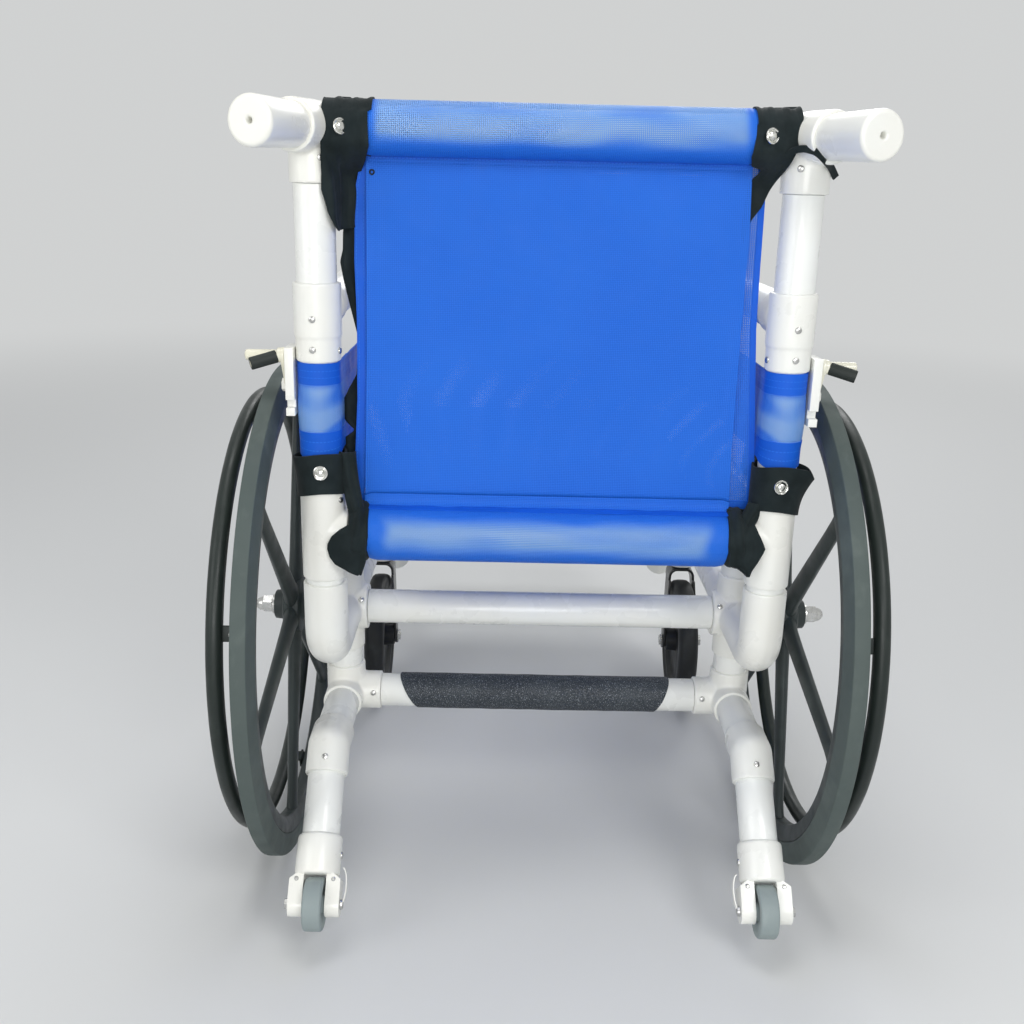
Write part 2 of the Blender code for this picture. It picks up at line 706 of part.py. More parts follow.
def front_upright(side):
    """Caster housing, seat corner and the pipe between them, with sockets for both rails."""
    seat = (SEAT_Z - AXLE_Z) * Z
    bottom = (stem_top() - AXLE_Z) * Z
    solids = [
        rod(bottom, SOCKET * Z, FITTING_R, rim=RIM_CHAMFER, both=True),
        rod((0, 0, 0), seat, PIPE_R),
        arm(Y, SOCKET),
        arm(-Y, SHORT_SOCKET),
        rod(seat - SOCKET * Z, seat + SOCKET * Z, FITTING_R, rim=RIM_CHAMFER, both=True),
        arm(Y, SOCKET, BRANCH_R, seat),
        arm(-side * X, SHORT_SOCKET, BRANCH_R, seat),
    ]
    stem = bottom + (STEM_LENGTH - BEARING_DROP + GAP) * Z
    cuts = [bore(bottom - SOCKET * Z, stem, STEM_R, BOLT_SIDES)]
    place = (side * FRAME_X, STEM_Y, AXLE_Z)
    part(f"front_upright_{SIDES[side]}", joined(solids, cuts), PIPE, place)


def crown_bottom():
    return 2 * CASTER_R + CROWN_GAP


def stem_top():
    """Height of the caster housing's lower rim, just over the fork's crown."""
    return crown_bottom() + CROWN_THICK + BEARING_DROP


def fork_height():
    return crown_bottom() + CROWN_THICK - CASTER_R


def fork_slope():
    """How far a fork leg leans in for each metre that it rises."""
    return (FORK_SPREAD - CROWN_HALF) / fork_height()


def fork_leg(hand):
    """One pressed leg: it narrows, trails and spreads from the crown to a round eye at the axle."""
    height = fork_height()
    half = FORK_TOP_WIDTH / 2
    lean = degrees(atan2(CASTER_TRAIL, height))
    eye = (CASTER_TRAIL, 0)
    end = arc(eye, FORK_END_R, 180 + lean, 360 + lean, END_STEPS)
    shape = [(-half, height), *end, (half, height)]
    plate = across(outline([shape], FORK_THICK), 0)
    slant = Matrix(((1, 0, -hand * fork_slope(), 0), (0, 1, 0, 0), (0, 0, 1, 0), (0, 0, 0, 1)))
    out = Matrix.Translation((hand * (FORK_SPREAD - FORK_THICK / 2), 0, 0))
    return moved(plate, out @ slant)


def caster_fork(side):
    """Crown, stem, two legs and the axle bolt with a nut on each end, from the stem's axis."""
    crown = crown_bottom() - CASTER_R
    half = FORK_TOP_WIDTH / 2
    plate = box((-CROWN_HALF, -half, crown), (CROWN_HALF, half, crown + CROWN_THICK))
    stem_foot = (crown + CROWN_THICK / 2) * Z
    stem_end = (crown + CROWN_THICK + STEM_LENGTH) * Z
    stem = rod(stem_foot, stem_end, STEM_R, BOLT_SIDES)
    washer_top = (crown + CROWN_THICK + BEARING_DROP - GAP) * Z
    washer = rod(stem_foot, washer_top, CROWN_WASHER_R, WASHER_SIDES)
    reach = (FORK_SPREAD + CASTER_NUT) * X
    seat = (FORK_SPREAD - FORK_THICK / 2) * X
    axle = CASTER_TRAIL * Y
    bolt = rod(axle - reach, axle + reach, CASTER_BOLT_R, BOLT_SIDES)
    nuts = [
        rod(axle + hand * seat, axle + hand * reach, CASTER_NUT_R, NUT_SIDES)
        for hand in (1, -1)
    ]
    solids = [plate, fork_leg(1), fork_leg(-1), stem, washer, bolt, *nuts]
    part(f"caster_fork_{SIDES[side]}", joined(solids), FORK, (side * FRAME_X, STEM_Y, CASTER_R))


def caster_wheel(side):
    """A solid tyre on a dished wheel whose hub fills the fork."""
    half = CASTER_WIDTH / 2
    web = CASTER_WEB / 2
    hub = FORK_SPREAD - FORK_THICK - fork_slope() * CASTER_HUB_R - 2 * GAP
    inner_tread = CASTER_R - CASTER_TREAD
    outer = apothem(CASTER_R, CASTER_STEPS)
    edge = RIM_CHAMFER * 3
    inner = apothem(CASTER_BOLT_R + GAP, CASTER_STEPS)
    right_half = [
        (hub, inner), (hub, CASTER_HUB_R), (web, CASTER_HUB_R),
        (half, inner_tread), (half - edge, outer),
    ]
    profile = right_half + [(-along, radius) for along, radius in reversed(right_half)]
    mesh = turned(profile, CASTER_STEPS, axis=X, phase=pi / CASTER_STEPS)
    place = (side * FRAME_X, STEM_Y + CASTER_TRAIL, CASTER_R)
    part(f"caster_wheel_{SIDES[side]}", mesh, CASTER, place)


def wheel_place(side):
    return (side * WHEEL_X, AXLE_Y, AXLE_Z)


def tyre(side):
    """A solid tyre with a flat tread and sides that slope out to its widest place, by the rim."""
    half = TYRE_WIDTH / 2
    tread = TREAD_WIDTH / 2
    outer = apothem(WHEEL_R, WHEEL_STEPS)
    bead = apothem(RIM_R + GAP, WHEEL_STEPS)
    wall = bead + TYRE_BEAD
    right_half = [(RIM_WIDTH / 2, bead), (half, wall), (tread, outer)]
    profile = right_half + [(-along, radius) for along, radius in reversed(right_half)]
    mesh = turned(profile, WHEEL_STEPS, axis=X, phase=pi / WHEEL_STEPS)
    part(f"tyre_{SIDES[side]}", mesh, TYRE, wheel_place(side))


def spoke_angles(share=0.0):
    """From +Y towards +Z. A share of 0.5 gives the middles of the gaps between the spokes."""
    return [pi / 2 + SPOKE_TURN + 2 * pi * (i + share) / SPOKES for i in range(SPOKES)]


def spoke(angle):
    """A straight oval spoke that tapers from the hub to the rim."""
    root = HUB_FLANGE_R - RIM_CHAMFER * 2
    tip = RIM_R - RIM_DEPTH / 2
    bar = rod((0, 0, root), (0, 0, tip), SPOKE_ROOT / 2, SPOKE_SIDES, end_radius=SPOKE_TIP / 2)
    edge_on = Matrix.Rotation(pi / SPOKE_SIDES, 4, "Z")
    flat = Matrix.Diagonal((SPOKE_THICK / SPOKE_ROOT, 1, 1, 1)) @ edge_on
    return moved(bar, Matrix.Rotation(angle - pi / 2, 4, "X") @ flat)


def wheel(side):
    """One moulded piece: box-section rim, six spokes, flanged hub and the bore for the axle."""
    half = RIM_WIDTH / 2
    outer = apothem(RIM_R, WHEEL_STEPS)
    inner = apothem(RIM_R - RIM_DEPTH, WHEEL_STEPS)
    rim_half = [(RIM_INNER_WIDTH / 2, inner), (half, inner + RIM_SHOULDER), (half, outer)]
    rim_profile = rim_half + [(-along, radius) for along, radius in reversed(rim_half)]
    rim = turned(rim_profile, WHEEL_STEPS, axis=X, phase=pi / WHEEL_STEPS)
    near = BOSS_X + GAP - WHEEL_X
    far = HUB_OUTER_X - WHEEL_X
    flange = HUB_FLANGE_WIDTH / 2
    foot_r = HUB_BARREL_R + RIM_CHAMFER * 2
    hub_profile = [
        (near, 0), (near, HUB_BARREL_R), (-flange, foot_r), (-flange, HUB_FLANGE_R),
        (flange, HUB_FLANGE_R), (flange, foot_r), (far, HUB_BARREL_R), (far, 0),
    ]
    hub_profile = [(side * along, radius) for along, radius in hub_profile]
    hub = turned(hub_profile, PIPE_SIDES, axis=X, closed=False)
    spokes = [spoke(angle) for angle in spoke_angles()]
    through = bore(-SOCKET * X, SOCKET * X, AXLE_R, BOLT_SIDES)
    part(f"wheel_{SIDES[side]}", joined([rim, *spokes, hub], [through]), WHEEL, wheel_place(side))


def handrim(side):
    """A round hoop outside the wheel, held by a small tab in the middle of each spoke gap."""
    out = HANDRIM_X - WHEEL_X
    section = [
        (HANDRIM_TUBE_R * cos(turn), HANDRIM_R + HANDRIM_TUBE_R * sin(turn))
        for turn in (2 * pi * (i + 0.5) / HANDRIM_SIDES for i in range(HANDRIM_SIDES))
    ]
    hoop = turned(section, WHEEL_STEPS, axis=X, phase=pi / WHEEL_STEPS)
    moved(hoop, Matrix.Translation(side * out * X))
    near = side * (RIM_WIDTH / 2 + GAP)
    far = side * (out - HANDRIM_TUBE_R / 2)
    low = HANDRIM_R - TAB_THICK / 2
    tabs = []
    for angle in spoke_angles(0.5):
        tab = box((near, -TAB_WIDTH / 2, low), (far, TAB_WIDTH / 2, low + TAB_THICK))
        tabs.append(moved(tab, Matrix.Rotation(angle - pi / 2, 4, "X")))
    part(f"handrim_{SIDES[side]}", joined([hoop, *tabs]), HANDRIM, wheel_place(side))


def wheel_axle():
    """One steel rod through both wheels and the axle tube, with a washer and a capped nut at each end."""
    washer_x = HUB_OUTER_X + GAP
    nut_x = washer_x + AXLE_WASHER
    cap_x = nut_x + AXLE_NUT
    solids = [rod(-nut_x * X, nut_x * X, AXLE_R, BOLT_SIDES)]
    for side in SIDES:
        washer, nut, cap = (side * place * X for place in (washer_x, nut_x - GAP, cap_x - GAP))
        end = side * (cap_x + AXLE_END) * X
        solids.append(rod(washer, side * nut_x * X, AXLE_WASHER_R, WASHER_SIDES))
        solids.append(rod(nut, side * cap_x * X, AXLE_NUT_R, NUT_SIDES))
        solids.append(rod(cap, end, AXLE_END_R, BOLT_SIDES, end_radius=AXLE_TIP_R))
    part("wheel_axle", joined(solids), STEEL, (0, AXLE_Y, AXLE_Z))


def foot_direction():
    return Vector((0, -cos(FOOT_LEG_SLOPE), -sin(FOOT_LEG_SLOPE)))


def footrest_leg(side):
    """A pipe ahead of the front upright, an elbow, the sloping leg and the pin the plate turns on."""
    rear = Vector((0, FOOT_ELBOW_FORWARD - SHORT_SOCKET - GAP, 0))
    foot = Vector((0, FOOT_Y + FOOT_ELBOW_FORWARD - STEM_Y, FOOT_PIVOT_Z - AXLE_Z))
    down = foot_direction()
    pin_end = FRAME_X - FOOT_HALF + FOOT_KNUCKLE_LENGTH
    solids = [
        glued_pipe(rear),
        rod((0, 0, 0), foot + down * FOOT_LEG_END, PIPE_R),
        rod(foot - down * FOOT_SLEEVE_UP, foot + down * FOOT_SLEEVE_DOWN, FITTING_R,
            rim=RIM_CHAMFER, both=True),
        ball((0, 0, 0), KNUCKLE_R),
        arm(down, SHORT_SOCKET),
        rod(foot, foot - side * pin_end * X, FOOT_PIN_R, BOLT_SIDES),
    ]
    place = (side * FRAME_X, STEM_Y - FOOT_ELBOW_FORWARD, AXLE_Z)
    part(f"footrest_leg_{SIDES[side]}", joined(solids), PIPE, place)


def footplate():
    """A plastic plate with drain slots that flips up on two knuckles along its rear edge."""
    front = -FOOT_DEPTH
    rear = FOOT_KNUCKLE_R / 2
    half = FOOT_HALF
    edge = [
        *arc((-half + FOOT_CORNER, front + FOOT_CORNER), FOOT_CORNER, 180, 270, END_STEPS // 2),
        *arc((half - FOOT_CORNER, front + FOOT_CORNER), FOOT_CORNER, 270, 360, END_STEPS // 2),
        (half, rear),
        (-half, rear),
    ]
    slots = []
    middle = (front + rear - FOOT_KNUCKLE_R) / 2
    ends = FOOT_SLOT_WIDTH / 2
    reach = FOOT_SLOT_LENGTH / 2 - ends
    for i in range(FOOT_SLOTS):
        x = (i - (FOOT_SLOTS - 1) / 2) * FOOT_SLOT_PITCH
        rear_end = arc((x, middle + reach), ends, 0, 180, END_STEPS // 2)
        front_end = arc((x, middle - reach), ends, 180, 360, END_STEPS // 2)
        slots.append(rear_end + front_end)
    lift = Matrix.Translation((0, 0, FOOT_KNUCKLE_R - FOOT_THICK / 2))
    plate = moved(outline([edge, *slots], FOOT_THICK), lift)
    knuckles = []
    bores = []
    for side in SIDES:
        outer = side * FOOT_HALF * X
        inner = side * (FOOT_HALF - FOOT_KNUCKLE_LENGTH) * X
        past = side * SOCKET * X
        knuckles.append(rod(inner, outer, FOOT_KNUCKLE_R, WASHER_SIDES))
        bores.append(bore(inner - past, outer + past, FOOT_PIN_R, BOLT_SIDES))
    mesh = joined([plate, *knuckles], bores)
    part("footplate", mesh, PIPE, (0, FOOT_Y, FOOT_PIVOT_Z))


def sling_roll(radius, half):
    """The sewn pocket of a sling, round a pipe that runs along X."""
    inner = apothem(PIPE_R + GAP, ROLL_STEPS)
    edge = SLING_THICK / 2
    right_half = [(half, inner), (half, radius - edge), (half - edge, radius)]
    profile = right_half + [(-along, turn_r) for along, turn_r in reversed(right_half)]
    return turned(profile, ROLL_STEPS, axis=X)


def back_sling():
    """A mesh panel between a roll on the upper back tube and a wider roll on the lower one."""
    height = TOP_Z - SEAT_Z
    seam = PIPE_R + GAP * 2
    low_half = BOTTOM_ROLL_HALF - SLING_THICK
    top_half = TOP_ROLL_HALF - SLING_THICK
    top = height - seam
    edge = [(-low_half, seam), (low_half, seam), (top_half, top), (-top_half, top)]
    upright = Matrix(((1, 0, 0, 0), (0, 0, 1, -BACK_PANEL_FORWARD), (0, 1, 0, 0), (0, 0, 0, 1)))
    panel = moved(outline([edge], SLING_THICK), upright)
    top_roll = moved(sling_roll(TOP_ROLL_R, TOP_ROLL_HALF), Matrix.Translation((0, 0, height)))
    bottom_roll = sling_roll(BOTTOM_ROLL_R, BOTTOM_ROLL_HALF)
    part("back_sling", joined([bottom_roll, top_roll, panel]), BLUE, (0, BACK_Y, SEAT_Z))


def seat_sling():
    """A sagging mesh seat from a roll on the front tube to the lower back roll."""
    rear = BACK_Y - STEM_Y - BOTTOM_ROLL_R - GAP
    top = SEAT_ROLL_R - SLING_THICK
    upper = []
    lower = []
    for i in range(SEAT_SAG_STEPS + 1):
        share = i / SEAT_SAG_STEPS
        y = rear * share
        z = top * (1 - share) - 4 * SEAT_SAG * share * (1 - share)
        upper.append((y, z + SLING_THICK - GAP))
        lower.append((y, z))
    sheet = across(outline([upper + lower[::-1]], 2 * (SEAT_SLING_HALF - SLING_THICK)), 0)
    roll = sling_roll(SEAT_ROLL_R, SEAT_SLING_HALF)
    part("seat_sling", joined([roll, sheet]), BLUE, (0, STEM_Y, SEAT_Z))


def side_panel(side):
    """A mesh band beside the sitter, with a sleeve round the back post and one round the front post."""
    low, high = SIDE_SLEEVE_BOTTOM, SIDE_SLEEVE_TOP
    front = Vector((0, STEM_Y - BACK_Y, 0))
    face_x, back_x = sorted((-side * SIDE_SLEEVE_R, -side * (SIDE_SLEEVE_R - SIDE_BAND_THICK)))
    band = box((face_x, front.y, low + RIM_CHAMFER), (back_x, 0, high - RIM_CHAMFER))
    posts = (Vector((0, 0, 0)), front)
    sleeves = [rod(post + low * Z, post + high * Z, SIDE_SLEEVE_R + GAP) for post in posts]
    cuts = [bore(post + (low - SOCKET) * Z, post + (high + SOCKET) * Z, PIPE_R) for post in posts]
    mesh = joined([*sleeves, band], cuts)
    part(f"side_panel_{SIDES[side]}", mesh, BLUE, (side * FRAME_X, BACK_Y, 0))


def top_strap(side):
    """A webbing strap wound round the corner fitting's inner socket, with its tail hanging."""
    outer_x = -side * (FITTING_R + GAP)
    inner_x = outer_x - side * TOP_STRAP_WIDTH
    outer_r = BRANCH_R + STRAP_THICK
    wrap = rod(Vector((inner_x, 0, 0)), Vector((outer_x, 0, 0)), outer_r)
    low_x, high_x = sorted((inner_x, inner_x + side * TOP_STRAP_TAIL_WIDTH))
    tail = box((low_x, -outer_r, -outer_r - TOP_STRAP_TAIL), (high_x, -outer_r + STRAP_THICK, 0))
    through = bore((-SOCKET * 2, 0, 0), (SOCKET * 2, 0, 0), BRANCH_R)
    mesh = joined([wrap, tail], [through])
    part(f"top_strap_{SIDES[side]}", mesh, BLACK_STRAP, (side * FRAME_X, BACK_Y, TOP_Z))


def low_strap(side):
    """A strap round the post over the seat tee's rim, tied down to a knot on the lower back tube."""
    ring_r = FITTING_R + STRAP_THICK
    ring = rod((POST_STRAP_BOTTOM - SEAT_Z) * Z, (POST_STRAP_TOP - SEAT_Z) * Z, ring_r)
    far = -side * (SEAT_BRANCH + GAP)
    near = far - side * KNOT_WIDTH
    knot = rod(near * X, far * X, KNOT_R, rim=KNOT_EDGE, both=True)
    low_x, high_x = sorted((near + side * GAP, -side * (FITTING_R + GAP)))
    tie = box(
        (low_x, -TIE_WIDTH / 2, PIPE_R + 4 * GAP),
        (high_x, TIE_WIDTH / 2, POST_STRAP_TOP - SEAT_Z - 4 * GAP),
    )
    clear_tee = bore(-SOCKET * Z, SOCKET * 2 * Z, FITTING_R)
    clear_branch = bore((-side * (FITTING_R - GAP), 0, 0), (far + side * GAP / 2, 0, 0), BRANCH_R)
    clear_tube = bore((-SOCKET * 2, 0, 0), (SOCKET * 2, 0, 0), PIPE_R)
    mesh = joined([ring, knot, tie], [clear_tee, clear_branch, clear_tube])
    part(f"low_strap_{SIDES[side]}", mesh, BLACK_STRAP, (side * FRAME_X, BACK_Y, SEAT_Z))


def lock_plate_x():
    """Where the mounting block starts: against the widest piece that it meets on the back post."""
    low = LOCK_PIVOT_Z + LOCK_PLATE_LIFT - LOCK_PLATE_HEIGHT / 2
    surface = max(COLLAR_R, SIDE_SLEEVE_R + GAP)
    if low + LOCK_PLATE_HEIGHT > ARM_Z - SLEEVE_BOTTOM:
        surface = ARM_SLEEVE_R
    if low < POST_STRAP_TOP:
        surface = FITTING_R + STRAP_THICK
    return FRAME_X + surface + GAP


def lock_plate(side):
    """The wheel lock's mounting block beside the post, with the bolt that the lever turns on."""
    near = lock_plate_x()
    far = near + LOCK_PLATE_THICK
    low = LOCK_PLATE_LIFT - LOCK_PLATE_HEIGHT / 2
    high = low + LOCK_PLATE_HEIGHT
    back = POST_SETBACK - LOCK_PIVOT_BACK
    depth = LOCK_PLATE_DEPTH / 2
    notch = LOCK_NOTCH
    rear = back + depth
    shape = [
        (back - depth, low), (rear, low), (rear, low + notch), (rear - notch, low + notch),
        (rear - notch, low + 2 * notch), (rear, low + 2 * notch), (rear, high), (back - depth, high),
    ]
    block = across(outline([shape], LOCK_PLATE_THICK), side * (near + far) / 2)
    bolt_end = far + GAP + LEVER_THICK + GAP
    bolt = rod(side * near * X, side * (bolt_end + LOCK_HEAD) * X, LOCK_BOLT_R, BOLT_SIDES)
    head = rod(side * bolt_end * X, side * (bolt_end + LOCK_HEAD) * X, LOCK_HEAD_R, NUT_SIDES)
    place = (0, AXLE_Y + LOCK_PIVOT_BACK, LOCK_PIVOT_Z)
    part(f"lock_plate_{SIDES[side]}", joined([block, bolt, head]), PIPE, place)


def lock_lever(side):
    """A flat lever with a shoe bar over the tyre and a rubber-covered grip that slopes down behind it."""
    near = lock_plate_x() + LOCK_PLATE_THICK + GAP
    middle = near + LEVER_THICK / 2
    far = near + LEVER_THICK
    shoe = (SHOE_BACK, SHOE_UP)
    grip = (GRIP_BACK, GRIP_UP)
    shape = hull([
        circle((0, 0), LEVER_EYE_R, BOLT_SIDES),
        circle(shoe, SHOE_BOSS_R, END_STEPS),
        circle(grip, GRIP_BOSS_R, END_STEPS),
    ])
    plate = across(outline([shape], LEVER_THICK), side * middle)
    grip_end = (side * GRIP_END_X, GRIP_BACK + GRIP_END_BACK, GRIP_UP - GRIP_END_DROP)
    bars = [
        rod((side * near, *shoe), (side * SHOE_END_X, *shoe), SHOE_R, BOLT_SIDES, rim=RIM_CHAMFER / 2),
        rod((side * near, *grip), (side * (far + GRIP_BOSS), *grip), GRIP_BOSS_R, BOLT_SIDES),
        rod((side * far, *grip), grip_end, GRIP_R, BOLT_SIDES, rim=RIM_CHAMFER),
    ]
    through = bore(-SHOE_END_X * X, SHOE_END_X * X, LOCK_BOLT_R, BOLT_SIDES)
    place = (0, AXLE_Y + LOCK_PIVOT_BACK, LOCK_PIVOT_Z)
    part(f"lock_lever_{SIDES[side]}", joined([plate, *bars], [through]), GRIP, place)


def hull(loops):
    """The convex outline round some loops of points, anticlockwise."""
    points = sorted({(round(y, 7), round(z, 7)) for loop in loops for y, z in loop})

    def chain(run):
        kept = []
        for point in run:
            while len(kept) > 1 and turn_of(kept[-2], kept[-1], point) <= 0:
                kept.pop()
            kept.append(point)
        return kept[:-1]

    return chain(points) + chain(points[::-1])


def turn_of(a, b, c):
    return (b[0] - a[0]) * (c[1] - a[1]) - (b[1] - a[1]) * (c[0] - a[0])


SIDE_PARTS = (
    side_pipes, corner_fitting, push_handle, arm_tee, armrest_frame, seat_tee, rear_upright, lower_fitting,
    anti_tip_leg, anti_tip_clevis, anti_tip_wheel, front_upright, caster_fork, caster_wheel, tyre, wheel,
    handrim, footrest_leg, side_panel, top_strap, low_strap, lock_plate, lock_lever,
)

cross_tubes()
wheel_axle()
footplate()
back_sling()
seat_sling()
for make in SIDE_PARTS:
    for hand in SIDES:
        make(hand)
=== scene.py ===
import bisect
import math
import bpy
from mathutils import Matrix, Vector, noise


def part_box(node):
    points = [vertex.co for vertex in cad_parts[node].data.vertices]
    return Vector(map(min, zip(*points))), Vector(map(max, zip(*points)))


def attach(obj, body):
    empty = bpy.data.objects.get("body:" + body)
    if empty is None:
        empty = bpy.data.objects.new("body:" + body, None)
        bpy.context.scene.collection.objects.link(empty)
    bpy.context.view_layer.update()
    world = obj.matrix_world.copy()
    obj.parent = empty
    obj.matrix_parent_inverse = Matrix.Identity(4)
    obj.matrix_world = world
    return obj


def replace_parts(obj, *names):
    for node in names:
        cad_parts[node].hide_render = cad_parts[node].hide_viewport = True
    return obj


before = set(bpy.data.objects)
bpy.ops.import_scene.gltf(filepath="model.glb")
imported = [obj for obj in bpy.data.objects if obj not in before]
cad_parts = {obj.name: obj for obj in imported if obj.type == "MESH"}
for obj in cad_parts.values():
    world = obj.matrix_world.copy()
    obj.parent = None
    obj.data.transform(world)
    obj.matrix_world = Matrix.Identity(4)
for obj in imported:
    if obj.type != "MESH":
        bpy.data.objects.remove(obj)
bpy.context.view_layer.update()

scene = bpy.context.scene

# Camera: behind the chair at chest height, a few centimetres to its left, looking down a little
# onto the back sling, with the slight tilt of a hand-held snapshot.
bpy.ops.object.select_all(action="DESELECT")
bpy.ops.object.camera_add(location=(0.0521, 1.5342, 0.8355), rotation=(1.26781, -0.02281, 3.13822))
camera = bpy.context.object
camera.name = "camera"
camera.data.sensor_width = 36
camera.data.lens = 38.3
scene.camera = camera

# Floor and light: a wide pale floor that runs into a pale room. Soft round lamps stand on both
# sides of the camera and close to it, one in front of the chair and one above it.
bpy.ops.mesh.primitive_circle_add(vertices=96, radius=30, fill_type="NGON", location=(0, 0, 0))
floor = bpy.context.object
floor.name = "floor"
backdrop_color = (0.63, 0.64, 0.64, 1)
fade_start, fade_end = 1.0, 5.0


def set_inputs(shader_node, values):
    """Sets values on the inputs of those names, with _ for a space."""
    for key, value in values.items():
        shader_node.inputs[key.replace("_", " ")].default_value = value


def node(made, kind, **values):
    added = made.node_tree.nodes.new(kind)
    set_inputs(added, values)
    return added


def wire(made, *pairs):
    for out, into in pairs:
        made.node_tree.links.new(out, into)


def maths(made, kind, first, second=0.5):
    """Works on two values, each a number or another node's output."""
    step = node(made, "ShaderNodeMath")
    step.operation = kind
    for index, value in enumerate((first, second)):
        if hasattr(value, "is_output"):
            wire(made, (value, step.inputs[index]))
        else:
            step.inputs[index].default_value = value
    return step.outputs[0]


def finish(name, color, roughness, metallic=0.0, **values):
    """A new finish and its surface shader, with the constants set."""
    made = bpy.data.materials.new(name)
    made.use_nodes = True
    shader = made.node_tree.nodes["Principled BSDF"]
    set_inputs(shader, {"Base Color": (*color, 1), "Roughness": roughness, "Metallic": metallic, **values})
    made.diffuse_color = (*color, 1)
    return made, shader


def rays(made, *kinds):
    """1 where a ray is of one of these kinds, otherwise 0."""
    light_path = node(made, "ShaderNodeLightPath")
    share, *others = [light_path.outputs[kind] for kind in kinds]
    for other in others:
        share = maths(made, "MAXIMUM", share, other)
    return share


def mixed(made, share, lit, plain, output):
    """Wires a lit shade to the output, and a plain one in its place by a share from 0 to 1."""
    mix = node(made, "ShaderNodeMixShader")
    surface = made.node_tree.nodes[output].inputs["Surface"]
    wire(made, (share, mix.inputs[0]), (lit.outputs[0], mix.inputs[1]), (plain.outputs[0], mix.inputs[2]))
    wire(made, (mix.outputs[0], surface))


floor_paint, floor_shader = finish("pale_floor", (0.72, 0.73, 0.73), 0.75, Specular_IOR_Level=0.2)
floor.data.materials.append(floor_paint)
floor_place = node(floor_paint, "ShaderNodeTexCoord")
floor_reach = node(floor_paint, "ShaderNodeVectorMath")
floor_reach.operation = "LENGTH"
floor_fade = node(floor_paint, "ShaderNodeMapRange", From_Min=fade_start, From_Max=fade_end)
floor_fade.interpolation_type = "SMOOTHSTEP"
wire(
    floor_paint, (floor_place.outputs["Object"], floor_reach.inputs[0]),
    (floor_reach.outputs["Value"], floor_fade.inputs["Value"]),
)
floor_share = maths(
    floor_paint, "MULTIPLY", floor_fade.outputs[0], rays(floor_paint, "Is Camera Ray", "Is Glossy Ray"),
)
mixed(
    floor_paint, floor_share, floor_shader, node(floor_paint, "ShaderNodeEmission", Color=backdrop_color),
    "Material Output",
)


def lamp(name, place, target, size, power):
    bpy.ops.object.light_add(type="AREA", location=place)
    made = bpy.context.object
    made.name = name
    made.data.shape = "DISK"
    made.data.size = size
    made.data.energy = power
    made.rotation_euler = (Vector(target) - Vector(place)).to_track_quat("-Z", "Y").to_euler()


lamp("key_lamp", (-1.5, 3.1, 2.6), (0, 0.2, 0.5), 1.6, 42)
lamp("fill_lamp", (2.6, 2.2, 1.8), (0, 0.2, 0.5), 2.2, 24)
lamp("near_lamp", (0.15, 2.9, 1.0), (0, 0.2, 0.3), 1.2, 21)
lamp("front_lamp", (-0.8, -3.0, 2.8), (0, 0, 0.4), 2.4, 46)
lamp("top_lamp", (0.3, 0.4, 3.4), (0, 0.2, 0.4), 1.8, 29)

room = bpy.data.worlds.new("pale_room")
room.use_nodes = True
scene.world = room
room_light = room.node_tree.nodes["Background"]
set_inputs(room_light, {"Color": (0.95, 0.97, 1.0, 1), "Strength": 0.29})
mixed(
    room, rays(room, "Is Camera Ray", "Is Glossy Ray", "Is Transmission Ray"), room_light,
    node(room, "ShaderNodeBackground", Color=backdrop_color, Strength=1.0), "World Output",
)
scene.view_settings.view_transform = "Standard"

# Straight pipes: 42 mm furniture-grade plastic pipe, extruded, white with a faint warm cast and
# a glossy skin, sawn square and glued into the fittings.
def grain(made, scale, detail=3.0, stretch=(1, 1, 1)):
    """Noise in the object's own metres, drawn out along an axis where stretch is under 1."""
    coords = node(made, "ShaderNodeTexCoord")
    place = node(made, "ShaderNodeMapping", Scale=stretch)
    cloud = node(made, "ShaderNodeTexNoise", Scale=scale, Detail=detail)
    wire(made, (coords.outputs["Object"], place.inputs["Vector"]), (place.outputs[0], cloud.inputs["Vector"]))
    return cloud.outputs["Fac"]


def spread(made, value, low, high, start=0.3, end=0.7):
    """Maps a value between start and end to low..high."""
    range_node = node(made, "ShaderNodeMapRange", From_Min=start, From_Max=end, To_Min=low, To_Max=high)
    wire(made, (value, range_node.inputs["Value"]))
    return range_node.outputs[0]


def tint(made, share, first, second):
    """Mixes two colours by a share from 0 to 1."""
    mix = node(made, "ShaderNodeMix")
    mix.data_type = "RGBA"
    for index, color in ((6, first), (7, second)):
        if hasattr(color, "is_output"):
            wire(made, (color, mix.inputs[index]))
        else:
            mix.inputs[index].default_value = (*color, 1)
    wire(made, (share, mix.inputs[0]))
    return mix.outputs[2]


def duller(color, share=0.72):
    return tuple(share * channel for channel in color)


def dressed(made, shader, color, roughness, *heights):
    """Wires a finish's colour, its roughness and its bumps, each a (height, strength, distance in metres)."""
    wire(made, (color, shader.inputs["Base Color"]), (roughness, shader.inputs["Roughness"]))
    normal = None
    for height, strength, distance in heights:
        bump = node(made, "ShaderNodeBump", Strength=strength, Distance=distance)
        wire(made, (height, bump.inputs["Height"]))
        if normal:
            wire(made, (normal, bump.inputs["Normal"]))
        normal = bump.outputs[0]
    wire(made, (normal, shader.inputs["Normal"]))


